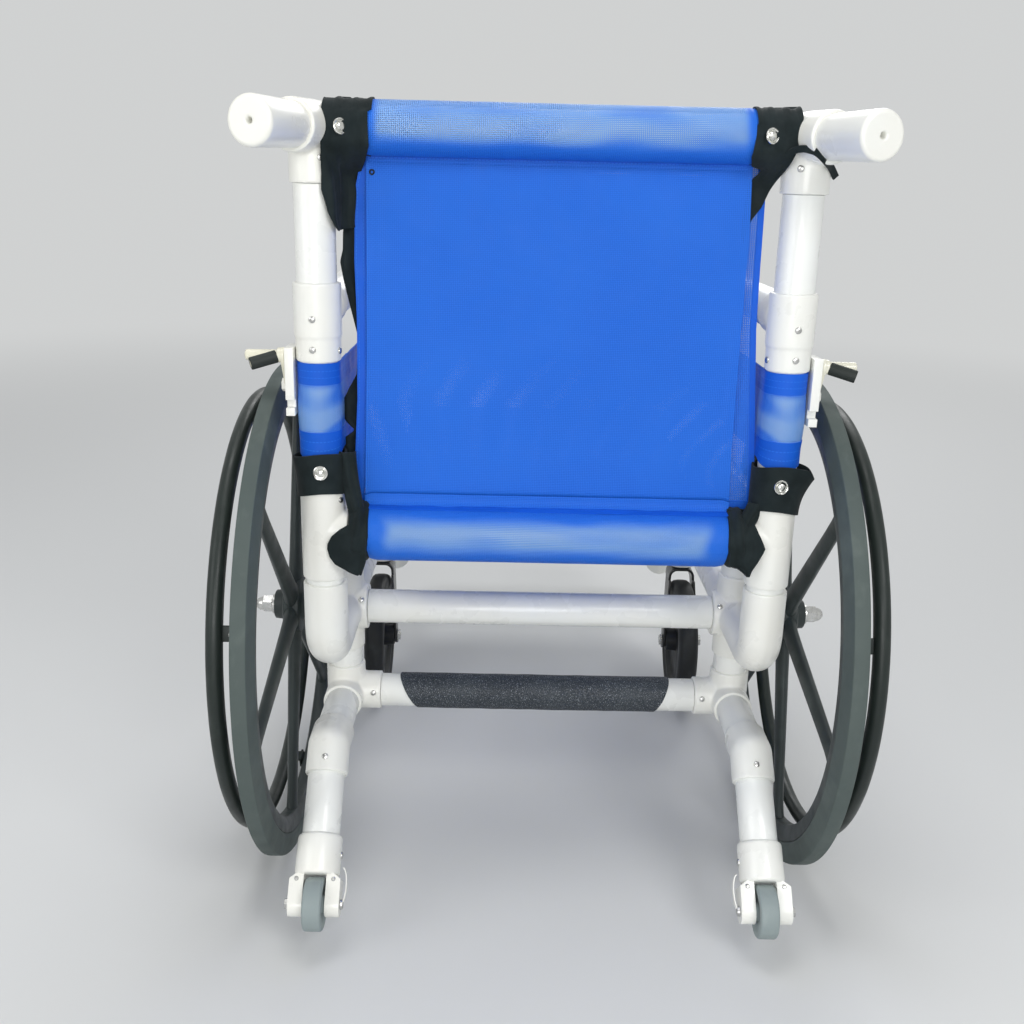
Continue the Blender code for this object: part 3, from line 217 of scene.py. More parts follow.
def white_plastic(name, color, warm, roughness, texture):
    """Glossy white plastic: clouds of a warmer white, fine scuffs, and a skin as fine as texture."""
    made, shader = finish(name, color, roughness, Coat_Weight=0.25, Coat_Roughness=0.12)
    clouds = spread(made, grain(made, 9.0), 0.0, 1.0)
    scuffs = spread(made, grain(made, 60.0, 8.0, (1, 1, 0.35)), 0.0, 0.22, 0.62, 0.80)
    dull = (color[0] * 0.78, color[1] * 0.78, color[2] * 0.76)
    dressed(
        made, shader, tint(made, scuffs, tint(made, clouds, color, warm), dull),
        spread(made, grain(made, 26.0, 5.0), roughness - 0.06, roughness + 0.10),
        (grain(made, texture, 2.0), 0.10, 0.0004), (grain(made, 45.0, 2.0), 0.12, 0.0010),
    )
    return made


pipe_plastic = white_plastic("extruded_pipe", (0.87, 0.89, 0.87), (0.88, 0.88, 0.83), 0.27, 620.0)


def walled(piece, thickness, offset=0):
    """Gives a sheet a thickness: half on each side, or all of it inwards where offset is -1."""
    shell = piece.modifiers.new("wall", "SOLIDIFY")
    shell.thickness = thickness
    shell.offset = offset


def edged(piece, width, segments=3, angle=50):
    """Rounds the edges at which a piece turns by more than an angle."""
    edge = piece.modifiers.new("edge", "BEVEL")
    edge.width = width
    edge.segments = segments
    edge.limit_method = "ANGLE"
    edge.angle_limit = math.radians(angle)


def applied(piece):
    bpy.context.view_layer.objects.active = piece
    for modifier in list(piece.modifiers):
        bpy.ops.object.modifier_apply(modifier=modifier.name)
    return piece


def carried(piece, body, slot, *nodes):
    """Names the body that carries a piece and hides the CAD nodes it stands for. Its slot is not used."""
    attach(piece, body)
    if nodes:
        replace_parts(piece, *nodes)
    return piece


def placed(piece, name, surface, body, slot, *nodes, angle=35):
    """Ends a piece: its modifiers and its place go into its mesh, and it gets its finish and its body."""
    bpy.ops.object.select_all(action="DESELECT")
    piece.select_set(True)
    applied(piece)
    bpy.ops.object.transform_apply(location=True, rotation=True, scale=True)
    bpy.ops.object.shade_smooth_by_angle(angle=math.radians(angle))
    piece.name = piece.data.name = name
    piece.data.materials.clear()
    piece.data.materials.append(surface)
    return carried(piece, body, slot, *nodes)


def bar(start, end, radius, sides=64, ends="NGON"):
    """A round bar from start to end, turned to lie along them."""
    start, end = Vector(start), Vector(end)
    run = end - start
    bpy.ops.object.select_all(action="DESELECT")
    bpy.ops.mesh.primitive_cylinder_add(
        vertices=sides, radius=radius, depth=run.length, end_fill_type=ends,
        location=(start + end) / 2, rotation=run.to_track_quat("Z", "Y").to_euler(),
    )
    return bpy.context.object


pipe_r, pipe_wall = 0.0211, 0.0036


def pipe(name, start, end, *nodes):
    piece = bar(start, end, pipe_r, 56, "NOTHING")
    walled(piece, pipe_wall, -1)
    edged(piece, 0.0005, 2)
    placed(piece, name, pipe_plastic, "frame", "white_pipe", *nodes)


for pipe_node in (
    "upper_back_tube", "lower_back_tube", "axle_tube", "lower_tube", "seat_front_tube",
    "back_post_left", "back_post_right", "seat_rail_left", "seat_rail_right",
    "lower_rail_left", "lower_rail_right",
):
    low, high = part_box(pipe_node)
    middle = (low + high) / 2
    size = high - low
    along = max(range(3), key=lambda axis: size[axis])
    reach = Vector((0, 0, 0))
    reach[along] = size[along] / 2
    pipe("pipe_" + pipe_node, middle - reach, middle + reach, pipe_node)

# Moulded fittings: injection-moulded white plastic, a little warmer than the pipe. Each is a few
# sockets that run into each other with soft inner corners and rounded rims.
fitting_plastic = white_plastic("moulded_fitting", (0.87, 0.88, 0.84), (0.88, 0.87, 0.80), 0.30, 480.0)


def merged(pieces):
    bpy.ops.object.select_all(action="DESELECT")
    for piece in pieces:
        piece.select_set(True)
    bpy.context.view_layer.objects.active = pieces[0]
    bpy.ops.object.join()
    return bpy.context.object


def moulded(pieces, voxel=0.0014):
    """Grows overlapping bars into one skin and softens it, as a moulded fitting's corners are."""
    piece = merged(pieces)
    bpy.ops.object.transform_apply(location=True, rotation=True, scale=True)
    skin = piece.modifiers.new("skin", "REMESH")
    skin.mode = "VOXEL"
    skin.voxel_size = voxel
    soften = piece.modifiers.new("soften", "SMOOTH")
    soften.factor = 0.5
    soften.iterations = 5
    return applied(piece)


def bored(piece, start, end, radius):
    """Cuts a round hole through a piece."""
    drill = bar(start, end, radius)
    cut = piece.modifiers.new("bore", "BOOLEAN")
    cut.operation = "DIFFERENCE"
    cut.object = drill
    applied(piece)
    bpy.data.objects.remove(drill, do_unlink=True)
    return piece


def knuckle(place, radius=0.0238):
    bpy.ops.object.select_all(action="DESELECT")
    bpy.ops.mesh.primitive_ico_sphere_add(subdivisions=4, radius=radius, location=place)
    return bpy.context.object


def other_side(piece, name, *carrier):
    """The right side's twin of a placed left piece, with its own mesh. All its names end in _right."""
    right_name, *right = [word.replace("_left", "_right") for word in (name, *carrier)]
    twin = bpy.data.objects.new(right_name, piece.data.copy())
    scene.collection.objects.link(twin)
    twin.data.transform(Matrix.Diagonal((-1, 1, 1, 1)))
    twin.data.flip_normals()
    twin.data.name = right_name
    return carried(twin, *right)


def both_sides(piece, name, surface, body, slot, *nodes, angle=35):
    placed(piece, name, surface, body, slot, *nodes, angle=angle)
    other_side(piece, name, body, slot, *nodes)


def fitting_pair(name, piece, *nodes):
    both_sides(piece, name + "_left", fitting_plastic, "frame", "white_pipe", *nodes)


# The lines that the frame is built on, in metres, and the fittings' common sizes: a socket's
# radius, a branch socket's radius, a socket's depth, a glued pipe's start in it and a pipe's bore.
side_x, axle_y, back_y, stem_y = 0.248, 0.2475, 0.3855, -0.1675
axle_z, seat_z, arm_z, top_z, low_z = 0.305, 0.452, 0.6945, 0.874, 0.188
X, Y, Z = Vector((1, 0, 0)), Vector((0, 1, 0)), Vector((0, 0, 1))
socket_r, branch_r, socket, pipe_start, pipe_bore = 0.0245, 0.0242, 0.054, 0.052, 0.0213
left_right = (("left", 1), ("right", -1))

corner = Vector((side_x, back_y, top_z))
splay = Vector((math.sin(math.radians(18)), math.cos(math.radians(18)), 0))
fitting_pair("corner_fitting_moulding", moulded([
    bar(corner, corner - socket * Z, socket_r),
    bar(corner, corner - 0.052 * X, branch_r),
    bar(corner, corner + 0.044 * splay, 0.0256),
    knuckle(corner),
]), "corner_fitting_left")

arm = Vector((side_x, back_y, arm_z))
drill_reach = 0.1
arm_tee = moulded([
    bar(arm - 0.0275 * Z, arm + 0.0275 * Z, 0.0251),
    bar(arm - 0.0535 * Z, arm, 0.0238),
    bar(arm, arm - socket * Y, branch_r),
])
fitting_pair(
    "arm_tee_moulding", bored(arm_tee, arm - drill_reach * Z, arm + drill_reach * Z, pipe_bore),
    "arm_tee_left",
)

seat = Vector((side_x, back_y, seat_z))
fitting_pair("seat_tee_moulding", moulded([
    bar(seat - socket * Z, seat + socket * Z, socket_r),
    bar(seat, seat - 0.029 * X, branch_r),
    bar(seat, seat - socket * Y, branch_r),
]), "seat_tee_left")

hub = Vector((side_x, axle_y, axle_z))
rail = Vector((side_x, axle_y, seat_z))
# The swept elbow: 0.1 m back from the hub, a quarter turn of 30 mm radius, and 57 mm up.
bend = [hub + Vector((0, 0.008 + 0.1 * i / 4, 0)) for i in range(5)]
bend += [
    hub + Vector((0, 0.108 + 0.03 * math.sin(turn), 0.03 - 0.03 * math.cos(turn)))
    for turn in (math.pi / 2 * i / 8 for i in range(1, 9))
]
bend.append(hub + Vector((0, 0.138, 0.087)))
sweep = [bar(a - (b - a).normalized() * 0.001, b, socket_r) for a, b in zip(bend, bend[1:])]
sweep += [knuckle(place, socket_r) for place in bend[5:12]]
axle_fitting = moulded([
    bar(hub - socket * Z, hub + socket * Z, socket_r),
    bar(hub, hub - socket * Y, branch_r),
    bar(hub - 0.031 * X, hub, 0.0285),
    bar(hub, hub + 0.0305 * X, branch_r),
    *sweep,
], voxel=0.0015)
axle_bore = 0.0067
fitting_pair(
    "axle_fitting_moulding", bored(axle_fitting, hub - drill_reach * X, hub + drill_reach * X, axle_bore),
    "rear_upright_left",
)
rail_tee = moulded([
    bar(rail - 0.045 * Y, rail + 0.045 * Y, socket_r),
    bar(rail, rail - socket * Z, branch_r),
])
fitting_pair(
    "rail_tee_moulding", bored(rail_tee, rail - drill_reach * Y, rail + drill_reach * Y, pipe_bore),
)

low_corner = Vector((side_x, axle_y, low_z))
fitting_pair("lower_fitting_moulding", moulded([
    bar(low_corner, low_corner + 0.040 * Z, socket_r),
    bar(low_corner, low_corner - 0.046 * X, branch_r),
    bar(low_corner, low_corner + 0.040 * Y, branch_r),
    knuckle(low_corner),
]), "lower_fitting_left")

leg_bend = Vector((side_x, axle_y + 0.1465, low_z))
leg_run = Vector((0, 1, -1)).normalized()
fitting_pair("anti_tip_elbow_moulding", moulded([
    bar(leg_bend, leg_bend - 0.035 * Y, socket_r),
    bar(leg_bend, leg_bend + 0.035 * leg_run, socket_r),
    knuckle(leg_bend, socket_r),
]), "anti_tip_leg_left")

stem = Vector((side_x, stem_y, axle_z))
front_seat = Vector((side_x, stem_y, seat_z))
housing_z, stem_bore = 0.221, 0.0084
fitting_pair("caster_housing_moulding", bored(moulded([
    bar((side_x, stem_y, housing_z), stem + socket * Z, socket_r),
    bar(stem, stem + socket * Y, branch_r),
    bar(stem, stem - 0.045 * Y, branch_r),
]), (side_x, stem_y, 0.1), (side_x, stem_y, housing_z + 0.0665), stem_bore), "front_upright_left")
fitting_pair("seat_corner_moulding", moulded([
    bar(front_seat - socket * Z, front_seat + socket * Z, socket_r),
    bar(front_seat, front_seat + socket * Y, branch_r),
    bar(front_seat, front_seat - 0.045 * X, branch_r),
]))

arm_front = Vector((side_x, stem_y, arm_z))
fitting_pair("armrest_elbow_moulding", moulded([
    bar(arm_front, arm_front + 0.045 * Y, socket_r),
    bar(arm_front, arm_front - 0.045 * Z, socket_r),
    knuckle(arm_front, socket_r),
]), "armrest_frame_left")

foot_bend = Vector((side_x, stem_y - 0.070, axle_z))
foot_run = Vector((0, -1, -1)).normalized()
plate_pin = Vector((side_x, -0.3925, 0.150))
fitting_pair("footrest_elbow_moulding", moulded([
    bar(foot_bend, foot_bend + 0.0247 * Y, 0.0236),
    bar(foot_bend, foot_bend + 0.045 * foot_run, socket_r),
    knuckle(foot_bend, branch_r),
]), "footrest_leg_left")
fitting_pair("footrest_sleeve_moulding", moulded([
    bar(plate_pin - 0.027 * foot_run, plate_pin + 0.022 * foot_run, socket_r),
    bar(plate_pin, plate_pin - 0.0385 * X, 0.0110),
]))


def handed(place, hand):
    """A place on the left side where hand is 1, or its mirror place on the right where it is -1."""
    return Vector((hand * place[0], place[1], place[2]))


# Glued pipes between the fittings: short lengths of the same extruded pipe, sawn square and
# cemented into the sockets.
for pipe_name, start, end in (
    ("axle_post", hub + pipe_start * Z, rail - pipe_start * Z),
    ("lower_post", low_corner + 0.040 * Z, hub - pipe_start * Z),
    ("elbow_neck", bend[-1] - 0.002 * Z, seat - socket * Z),
    ("anti_tip_nipple", low_corner + 0.040 * Y, leg_bend - 0.033 * Y),
    ("anti_tip_leg_pipe", leg_bend + 0.033 * leg_run, leg_bend + 0.1037 * leg_run),
    ("front_post", stem + pipe_start * Z, front_seat - pipe_start * Z),
    ("armrest_pipe", arm_front + 0.043 * Y, arm - socket * Y),
    ("armrest_post", front_seat + socket * Z, arm_front - 0.043 * Z),
    ("footrest_leg_pipe", foot_bend + 0.043 * foot_run, plate_pin - 0.025 * foot_run),
):
    for side, hand in left_right:
        pipe(f"{pipe_name}_{side}", handed(start, hand), handed(end, hand))

# Push handles: a moulded white stub in each corner fitting, splayed outwards, with a rounded end
# and a sunk screw hole in the middle of it.
def turned(start, direction, profile, sides=72, loop=False):
    """Turns a piece as on a lathe: a ring is drawn out through points of (along, radius)."""
    along, radius = profile[0]
    bpy.ops.object.select_all(action="DESELECT")
    bpy.ops.mesh.primitive_circle_add(vertices=sides, radius=radius, location=(0, 0, 0))
    piece = bpy.context.object
    bpy.ops.object.mode_set(mode="EDIT")
    bpy.ops.mesh.select_all(action="SELECT")
    bpy.ops.transform.translate(value=(0, 0, along))
    for next_along, next_radius in profile[1:] + (profile[:1] if loop else []):
        bpy.ops.mesh.extrude_region_move(TRANSFORM_OT_translate={"value": (0, 0, next_along - along)})
        share = next_radius / radius
        bpy.ops.transform.resize(value=(share, share, 1), center_override=(0, 0, next_along))
        along, radius = next_along, next_radius
    bpy.ops.mesh.select_all(action="SELECT")
    bpy.ops.mesh.remove_doubles(threshold=0.00001)
    if not loop:
        bpy.ops.mesh.select_all(action="SELECT")
        bpy.ops.mesh.fill_holes(sides=0)
    bpy.ops.mesh.select_all(action="SELECT")
    bpy.ops.mesh.normals_make_consistent(inside=False)
    bpy.ops.object.mode_set(mode="OBJECT")
    piece.location = start
    piece.rotation_euler = Vector(direction).to_track_quat("Z", "Y").to_euler()
    return piece


def rounded(along, radius, edge):
    """Points round a turned piece's outer edge, from its flat end to its side."""
    turns = (math.pi / 2 * i / 7 for i in range(8))
    return [(along - edge * (1 - math.cos(turn)), radius - edge * (1 - math.sin(turn))) for turn in turns]


handle_start, handle_length = corner + 0.0443 * splay, 0.0757
fitting_pair("push_handle_moulding", turned(handle_start, splay, [
    (handle_length - 0.012, 0.0027), (handle_length - 0.0022, 0.0029), (handle_length - 0.0008, 0.0034),
    (handle_length - 0.0002, 0.0042), (handle_length, 0.0052), (handle_length, 0.0064),
    (handle_length, 0.0182), *rounded(handle_length, 0.0233, 0.0042),
    (handle_length - 0.020, 0.0231), (0.026, 0.0224), (0.004, 0.0220), (0.0, 0.0219),
]), "push_handle_left")

# Back sling: vinyl-coated mesh, woven from blue yarn. Its ends are folded round the two back
# tubes and sewn down, and a second, wider layer hangs in front of it with bound side edges.
def flat_place(made):
    """The two outputs of a cloth's UV map: metres across it and metres along it."""
    flat = node(made, "ShaderNodeUVMap")
    split = node(made, "ShaderNodeSeparateXYZ")
    wire(made, (flat.outputs[0], split.inputs[0]))
    return split.outputs[0], split.outputs[1]


def woven(name, light, deep, gap, pitch=0.0019):
    """Open mesh: flat coated yarns over and under each other, with holes from gap outwards."""
    made, shader = finish(name, deep, 0.5, Specular_IOR_Level=0.20)
    rows = [maths(made, "MULTIPLY", metres, 1 / pitch) for metres in flat_place(made)]
    off = [maths(made, "MULTIPLY", maths(made, "PINGPONG", row, 0.5), 2.0) for row in rows]
    crossings = [maths(made, "FLOOR", maths(made, "ADD", row, 0.5)) for row in rows]
    over = maths(made, "MULTIPLY", maths(made, "PINGPONG", maths(made, "ADD", *crossings), 1.0), 0.5)
    yarns = [maths(made, "SUBTRACT", 1.0, maths(made, "POWER", value, 2.0)) for value in off]
    height = maths(
        made, "MAXIMUM", maths(made, "MULTIPLY", yarns[0], maths(made, "ADD", over, 0.5)),
        maths(made, "MULTIPLY", yarns[1], maths(made, "SUBTRACT", 1.0, over)),
    )
    # Where the stored mark is high, the holes open wider and both yarn colours are painted lighter: painted
    # highlight, and the painted glow of the white pipe under the cloth.
    open_and_lit = node(made, "ShaderNodeAttribute")
    open_and_lit.attribute_name = "open_and_painted_light"
    open_and_lit = open_and_lit.outputs["Fac"]
    rim = maths(made, "SUBTRACT", gap, maths(made, "MULTIPLY", open_and_lit, gap - 0.38))
    hole = maths(made, "MULTIPLY", *(maths(made, "GREATER_THAN", value, rim) for value in off))
    wire(made, (maths(made, "SUBTRACT", 1.0, hole), shader.inputs["Alpha"]))
    lit = tint(made, open_and_lit, light, (0.250, 0.470, 0.87))
    shaded = tint(made, open_and_lit, deep, (0.085, 0.255, 0.76))
    # The yarn's crowns take the lit colour and its low parts the shaded one: painted shade in the weave.
    yarn = tint(made, spread(made, height, 0.0, 1.0, 0.35, 1.0), shaded, lit)
    clouds = spread(made, grain(made, 7.0, 4.0), 0.0, 0.45)
    dressed(
        made, shader, tint(made, clouds, yarn, lit), spread(made, grain(made, 40.0, 4.0), 0.38, 0.56),
        (grain(made, 30.0, 4.0), 0.25, 0.0015), (height, 0.55, 0.0005),
    )
    return made


blue_mesh = woven("blue_mesh", (0.022, 0.178, 0.775), (0.006, 0.090, 0.575), gap=0.74)
front_mesh = woven("front_blue_mesh", (0.030, 0.180, 0.760), (0.010, 0.095, 0.560), gap=0.66)


def cloth(columns, rows, width, length, place):
    """A sheet whose points go to place(across, along), in metres of the flat cloth, as its UV map is."""
    bpy.ops.object.select_all(action="DESELECT")
    bpy.ops.mesh.primitive_grid_add(x_subdivisions=columns, y_subdivisions=rows, size=1, location=(0, 0, 0))
    piece = bpy.context.object
    mesh = piece.data
    flat = [(vertex.co.x * width, (vertex.co.y + 0.5) * length) for vertex in mesh.vertices]
    for loop, mark in zip(mesh.loops, mesh.uv_layers[0].data):
        mark.uv = flat[loop.vertex_index]
    for vertex, (across, along) in zip(mesh.vertices, flat):
        vertex.co = place(across, along)
    mesh.update()
    return piece


def sewn(piece, name, surface, slot, *nodes, thick=0.0011):
    """Gives a sheet its thickness and places it. The sheet's own place is on its middle layer."""
    walled(piece, thick)
    return placed(piece, name, surface, "frame", slot, *nodes, angle=60)


def path(points):
    """A path's length and a rule that gives its point at a distance along it."""
    marks = [0.0]
    for first, second in zip(points, points[1:]):
        marks.append(marks[-1] + (Vector(second) - Vector(first)).length)

    def at(distance):
        distance = min(max(distance, 0.0), marks[-1])
        i = min(max(bisect.bisect_left(marks, distance), 1), len(marks) - 1)
        share = (distance - marks[i - 1]) / (marks[i] - marks[i - 1])
        return Vector(points[i - 1]).lerp(Vector(points[i]), share)

    return marks[-1], at


def around(centre, radius, start, end, steps):
    """Points (y, z) of an arc. Angles go from the rear towards the top, in degrees."""
    turns = (math.radians(start + (end - start) * i / steps) for i in range(steps + 1))
    return [(centre[0] + radius * math.cos(t), centre[1] + radius * math.sin(t)) for t in turns]


def between(table, at):
    """A value at a place, read from rows of (place, value) whose places rise."""
    at = min(max(at, table[0][0]), table[-1][0])
    i = min(max(bisect.bisect_left([row[0] for row in table], at), 1), len(table) - 1)
    share = (at - table[i - 1][0]) / (table[i][0] - table[i - 1][0])
    return table[i - 1][1] + share * (table[i][1] - table[i - 1][1])


def ramp(value, start, end):
    """A share that rises evenly from 0 at start to 1 at end."""
    return min(max((value - start) / (end - start), 0.0), 1.0)


def eased(value, start, end):
    """The same share with a soft start and end."""
    share = ramp(value, start, end)
    return share * share * (3 - 2 * share)


def mark_open_and_lit(piece, rule):
    """Stores on each point how far the weave's holes open and its yarn is painted lighter there, from 0 to 1.
    """
    marks = piece.data.attributes.new("open_and_painted_light", "FLOAT", "POINT")
    for vertex, mark in zip(piece.data.vertices, marks.data):
        mark.value = rule(vertex.co)


def soft(x, y, z, scale, amount):
    """A small smooth unevenness, as cloth has where it isn't quite taut."""
    return amount * noise.noise(Vector((x, y, z)) * scale)


panel_y = back_y - 0.008
roll_top, roll_low, roll_drop = 0.0262, 0.0300, 0.0025
sling_points = [
    (panel_y + 0.0020, 0.8412), (panel_y + 0.0022, 0.8470),
    *around((back_y, top_z), roll_top, -98, 236, 44),
    (panel_y - 0.0006, 0.8440), (panel_y, 0.8380), (panel_y, 0.7000), (panel_y, 0.5600), (panel_y, 0.4960),
    *around((back_y, seat_z - roll_drop), roll_low, 124, 448, 44),
    (panel_y + 0.0040, 0.4835), (panel_y + 0.0022, 0.4870), (panel_y + 0.0020, 0.4935),
]
sling_length, sling_at = path(sling_points)
sling_width = 0.390

# How far the sling's left and right edges stand from the middle, as rows of (height, distance).
sling_left = [
    (0.42, 0.1955), (0.484, 0.2031), (0.564, 0.2006), (0.651, 0.1983), (0.755, 0.1969), (0.832, 0.1961),
    (0.88, 0.1945),
]
sling_right = [
    (0.42, 0.1945), (0.493, 0.2004), (0.550, 0.1985), (0.681, 0.1978), (0.774, 0.1982), (0.841, 0.1955),
    (0.88, 0.1935),
]


def sling_x(share, z):
    """A place across the sling: share runs from -1 at its right edge to 1 at its left edge."""
    left, right = between(sling_left, z), between(sling_right, z)
    return (left - right) / 2 + share * (left + right) / 2


def sling_place(across, along):
    """Taut and slightly hollow between the tubes, finely puckered where it goes round them."""
    y, z = sling_at(along)
    taut = ramp(z, 0.835, 0.785) * ramp(z, 0.497, 0.547)
    share = across / (sling_width / 2)
    edge, x = abs(share), sling_x(share, z)
    y += 0.0007 * taut * ramp(edge, 0.944, 0.956)
    y += taut * (soft(across, 4.1, z, 16, 0.0009) - 0.003 * (1 - edge ** 2))
    if not taut:
        pucker = 0.010 * noise.noise(Vector((across * 22, y * 60, z * 60))) * (0.5 + edge ** 4)
        crease = 0.016 * max(0, noise.noise(Vector((across * 7, y * 130, z * 130)))) ** 1.5
        lift = 1 + pucker - crease - 0.05 * max(0, edge - 0.965) / 0.035
        centre = Vector((back_y, top_z if z > (seat_z + top_z) / 2 else seat_z - roll_drop))
        y, z = centre + (Vector((y, z)) - centre) * max(lift, 0.9)
    return Vector((x, y, z))


back_cloth = sewn(
    cloth(150, 300, sling_width, sling_length, sling_place), "back_sling_mesh", blue_mesh, "blue_mesh",
    "back_sling",
)


def roll_open_and_lit(place):
    """Over both tubes the weave's holes open and its yarn is painted lighter, as painted highlight: over the
    upper half of the upper roll and a middle band of the lower one, but not near the cloth's side edges.
    """
    left, right = between(sling_left, place.z), between(sling_right, place.z)
    side = abs(place.x - (left - right) / 2) / (left + right) * 2
    uneven = noise.noise(Vector((place.x * 16, place.y * 20, place.z * 70)))
    z = place.z + 0.004 * uneven
    above = eased(z, top_z - 0.018, top_z - 0.003) * (1 - eased(side, 0.910, 0.960))
    below = eased(z, seat_z - 0.022, seat_z - 0.004) * (1 - eased(z, seat_z + 0.011, seat_z + 0.024))
    return max(above, below * (1 - eased(side + 0.03 * uneven, 0.840, 0.930))) * min(0.92 + 0.5 * uneven, 1.0)


mark_open_and_lit(back_cloth, roll_open_and_lit)

# Front layer of the back: a flat panel of the same coated mesh, wider at its foot, which hangs
# under the upper roll. Close-woven tape is bound over its side edges and its foot.
layer_y, layer_top, layer_foot = panel_y - 0.0048, 0.845, 0.4800
layer_length = layer_top - layer_foot
# How far its left and its right edge stand from the middle, as rows of (height, distance).
left_edge = [
    (0.480, 0.2165), (0.506, 0.2149), (0.596, 0.2098), (0.682, 0.2087), (0.744, 0.2101), (0.814, 0.2081),
    (0.845, 0.2015),
]
right_edge = [
    (0.480, 0.2275), (0.527, 0.2262), (0.605, 0.2202), (0.681, 0.2146), (0.743, 0.2131), (0.813, 0.2119),
    (0.845, 0.2085),
]


def layer_x(share, z):
    """A place across the layer: share runs from -1 at its right edge to 1 at its left edge."""
    left, right = between(left_edge, z), between(right_edge, z)
    return (left - right) / 2 + share * (left + right) / 2


def layer_rear(x, z):
    edge = min(abs(x) / 0.21, 1.0)
    return layer_y + soft(x, 9.2, z, 12, 0.0008) - 0.0025 * (1 - edge ** 2)


def layer_place(across, along):
    z = layer_foot + along
    x = layer_x(across / 0.2, z)
    return Vector((x, layer_rear(x, z), z))


front_layer = sewn(
    cloth(120, 110, 0.4, layer_length, layer_place), "back_front_layer", front_mesh, "blue_mesh",
)


def ribs(made, direction, **values):
    """Fine ribs on a cloth's UV map."""
    flat = node(made, "ShaderNodeUVMap")
    wave = node(made, "ShaderNodeTexWave", **values)
    wave.bands_direction = direction
    wire(made, (flat.outputs[0], wave.inputs["Vector"]))
    return wave.outputs["Fac"]


def bound_cloth(name, color, rows, stitch_color=(0.02, 0.16, 0.72), spacing=0.0038, thread_r=0.00045):
    """Close-woven coated tape, stitched along two rows. Each row is a distance across the tape."""
    made, shader = finish(name, color, 0.48, Specular_IOR_Level=0.18)
    across, along = flat_place(made)
    lines = [maths(made, "COMPARE", across, row) for row in rows]
    for line in lines:
        line.node.inputs[2].default_value = thread_r
    stitch = maths(made, "LESS_THAN", maths(made, "PINGPONG", along, spacing / 2), spacing * 0.36)
    thread = maths(made, "MULTIPLY", stitch, maths(made, "MAXIMUM", *lines))
    clouds = spread(made, grain(made, 18.0, 4.0), 0.0, 0.5)
    dressed(
        made, shader, tint(made, thread, tint(made, clouds, color, duller(color)), stitch_color),
        spread(made, grain(made, 60.0, 3.0), 0.40, 0.58), (ribs(made, "DIAGONAL", Scale=420.0), 0.25, 0.0003),
        (thread, 0.6, 0.0006), (grain(made, 35.0, 3.0), 0.2, 0.0010),
    )
    return made


blue_tape = bound_cloth("blue_tape", (0.010, 0.118, 0.68), (-0.0035, 0.0035))
# The hem tape is a little darker than the other tape: painted shade under the upper roll.
shaded_hem_tape = bound_cloth("blue_hem_tape_painted_shade", (0.009, 0.105, 0.62), (-0.0022, 0.0022))
binding_thick, hem_thick = 0.0026, 0.0014


def tape(piece, name, thick=binding_thick, surface=blue_tape):
    return sewn(piece, name, surface, "blue_mesh", thick=thick)


for hem_name, hand, wide in (("left", 1, 0.0118), ("right", -1, 0.0062)):
    def edge_place(across, along):
        z = layer_foot + along
        x = layer_x(hand, z) - hand * wide / 2
        return Vector((x - hand * across, layer_rear(x, z) + soft(x, 2.0, z, 60, 0.0004), z))
    tape(cloth(6, 120, wide, layer_length, edge_place), "back_layer_binding_" + hem_name)


def foot_place(across, along):
    z = layer_foot + 0.0055 + across
    x = layer_x((along / 0.4 - 0.5) * 1.98, z)
    return Vector((x, layer_rear(x, z), z))


tape(cloth(6, 110, 0.0110, 0.4, foot_place), "back_layer_foot_binding")
bands = 100
layer_heights = [layer_foot + (i + 0.5) * layer_length / bands for i in range(bands)]
layer_area = sum((layer_x(1, z) - layer_x(-1, z)) * layer_length / bands for z in layer_heights)

# Hems of the back sling: a narrow tape sewn over the fold under the upper roll, its blue a little
# darker as painted shade under the roll, and a wider one with two rows of stitches on top of the lower roll,
# where the panel meets it.
hem_length, roll_hem_r = 0.387, 0.0312


def upper_hem(across, along):
    z = 0.8480 + across
    x = sling_x(2 * along / hem_length - 1, z)
    return Vector((x, panel_y + 0.0034 + soft(x, 3.3, z, 40, 0.0005), z))


def lower_hem(across, along):
    turn = math.radians(90.5) + across / roll_hem_r
    z = seat_z - roll_drop + roll_hem_r * math.sin(turn)
    x = sling_x(2 * along / hem_length - 1, z)
    return Vector((x, back_y + roll_hem_r * math.cos(turn), z + soft(x, 3.3, across, 40, 0.0006)))


sling_hems = [
    tape(cloth(5, 110, 0.0062, hem_length, upper_hem), "back_sling_hem_upper", hem_thick, shaded_hem_tape),
    tape(cloth(12, 110, 0.0180, hem_length, lower_hem), "back_sling_hem_lower", hem_thick),
]

# Seat sling: the same coated mesh, wrapped round the front seat tube and stretched back to the
# lower roll, with a soft sag. Close-woven tape is bound over its side edges.
front_tube = (stem_y, seat_z)
seat_end = back_y - 0.0292
seat_points = [(stem_y + 0.052, seat_z + 0.0125), *around(front_tube, 0.0245, 34, -276, 44)]
seat_start_y = seat_points[-1][0]
for i in range(1, 25):
    share = i / 24
    seat_points.append((
        seat_start_y + (seat_end - seat_start_y) * share,
        seat_z + 0.0243 * (1 - share) - 0.064 * share * (1 - share),
    ))
seat_length, seat_at = path(seat_points)
seat_width = 0.388


def seat_place(across, along):
    y, z = seat_at(along)
    sag = ramp(y, stem_y + 0.03, stem_y + 0.13) * ramp(y, seat_end, seat_end - 0.06)
    edge = (2 * across / seat_width) ** 2
    if along > 0.14:
        z -= sag * (0.006 * (1 - edge) + soft(across, y, 6.0, 14, 0.0022))
    return Vector((across, y, z))


seat_cloth = sewn(
    cloth(110, 190, seat_width, seat_length, seat_place), "seat_sling_mesh", blue_mesh, "blue_mesh",
    "seat_sling",
)
for hem_name, hand in left_right:
    def seat_edge(across, along):
        return seat_place(hand * (seat_width / 2 - 0.0055) + across, along)
    tape(cloth(5, 150, 0.0110, seat_length - 0.001, seat_edge), "seat_binding_" + hem_name)

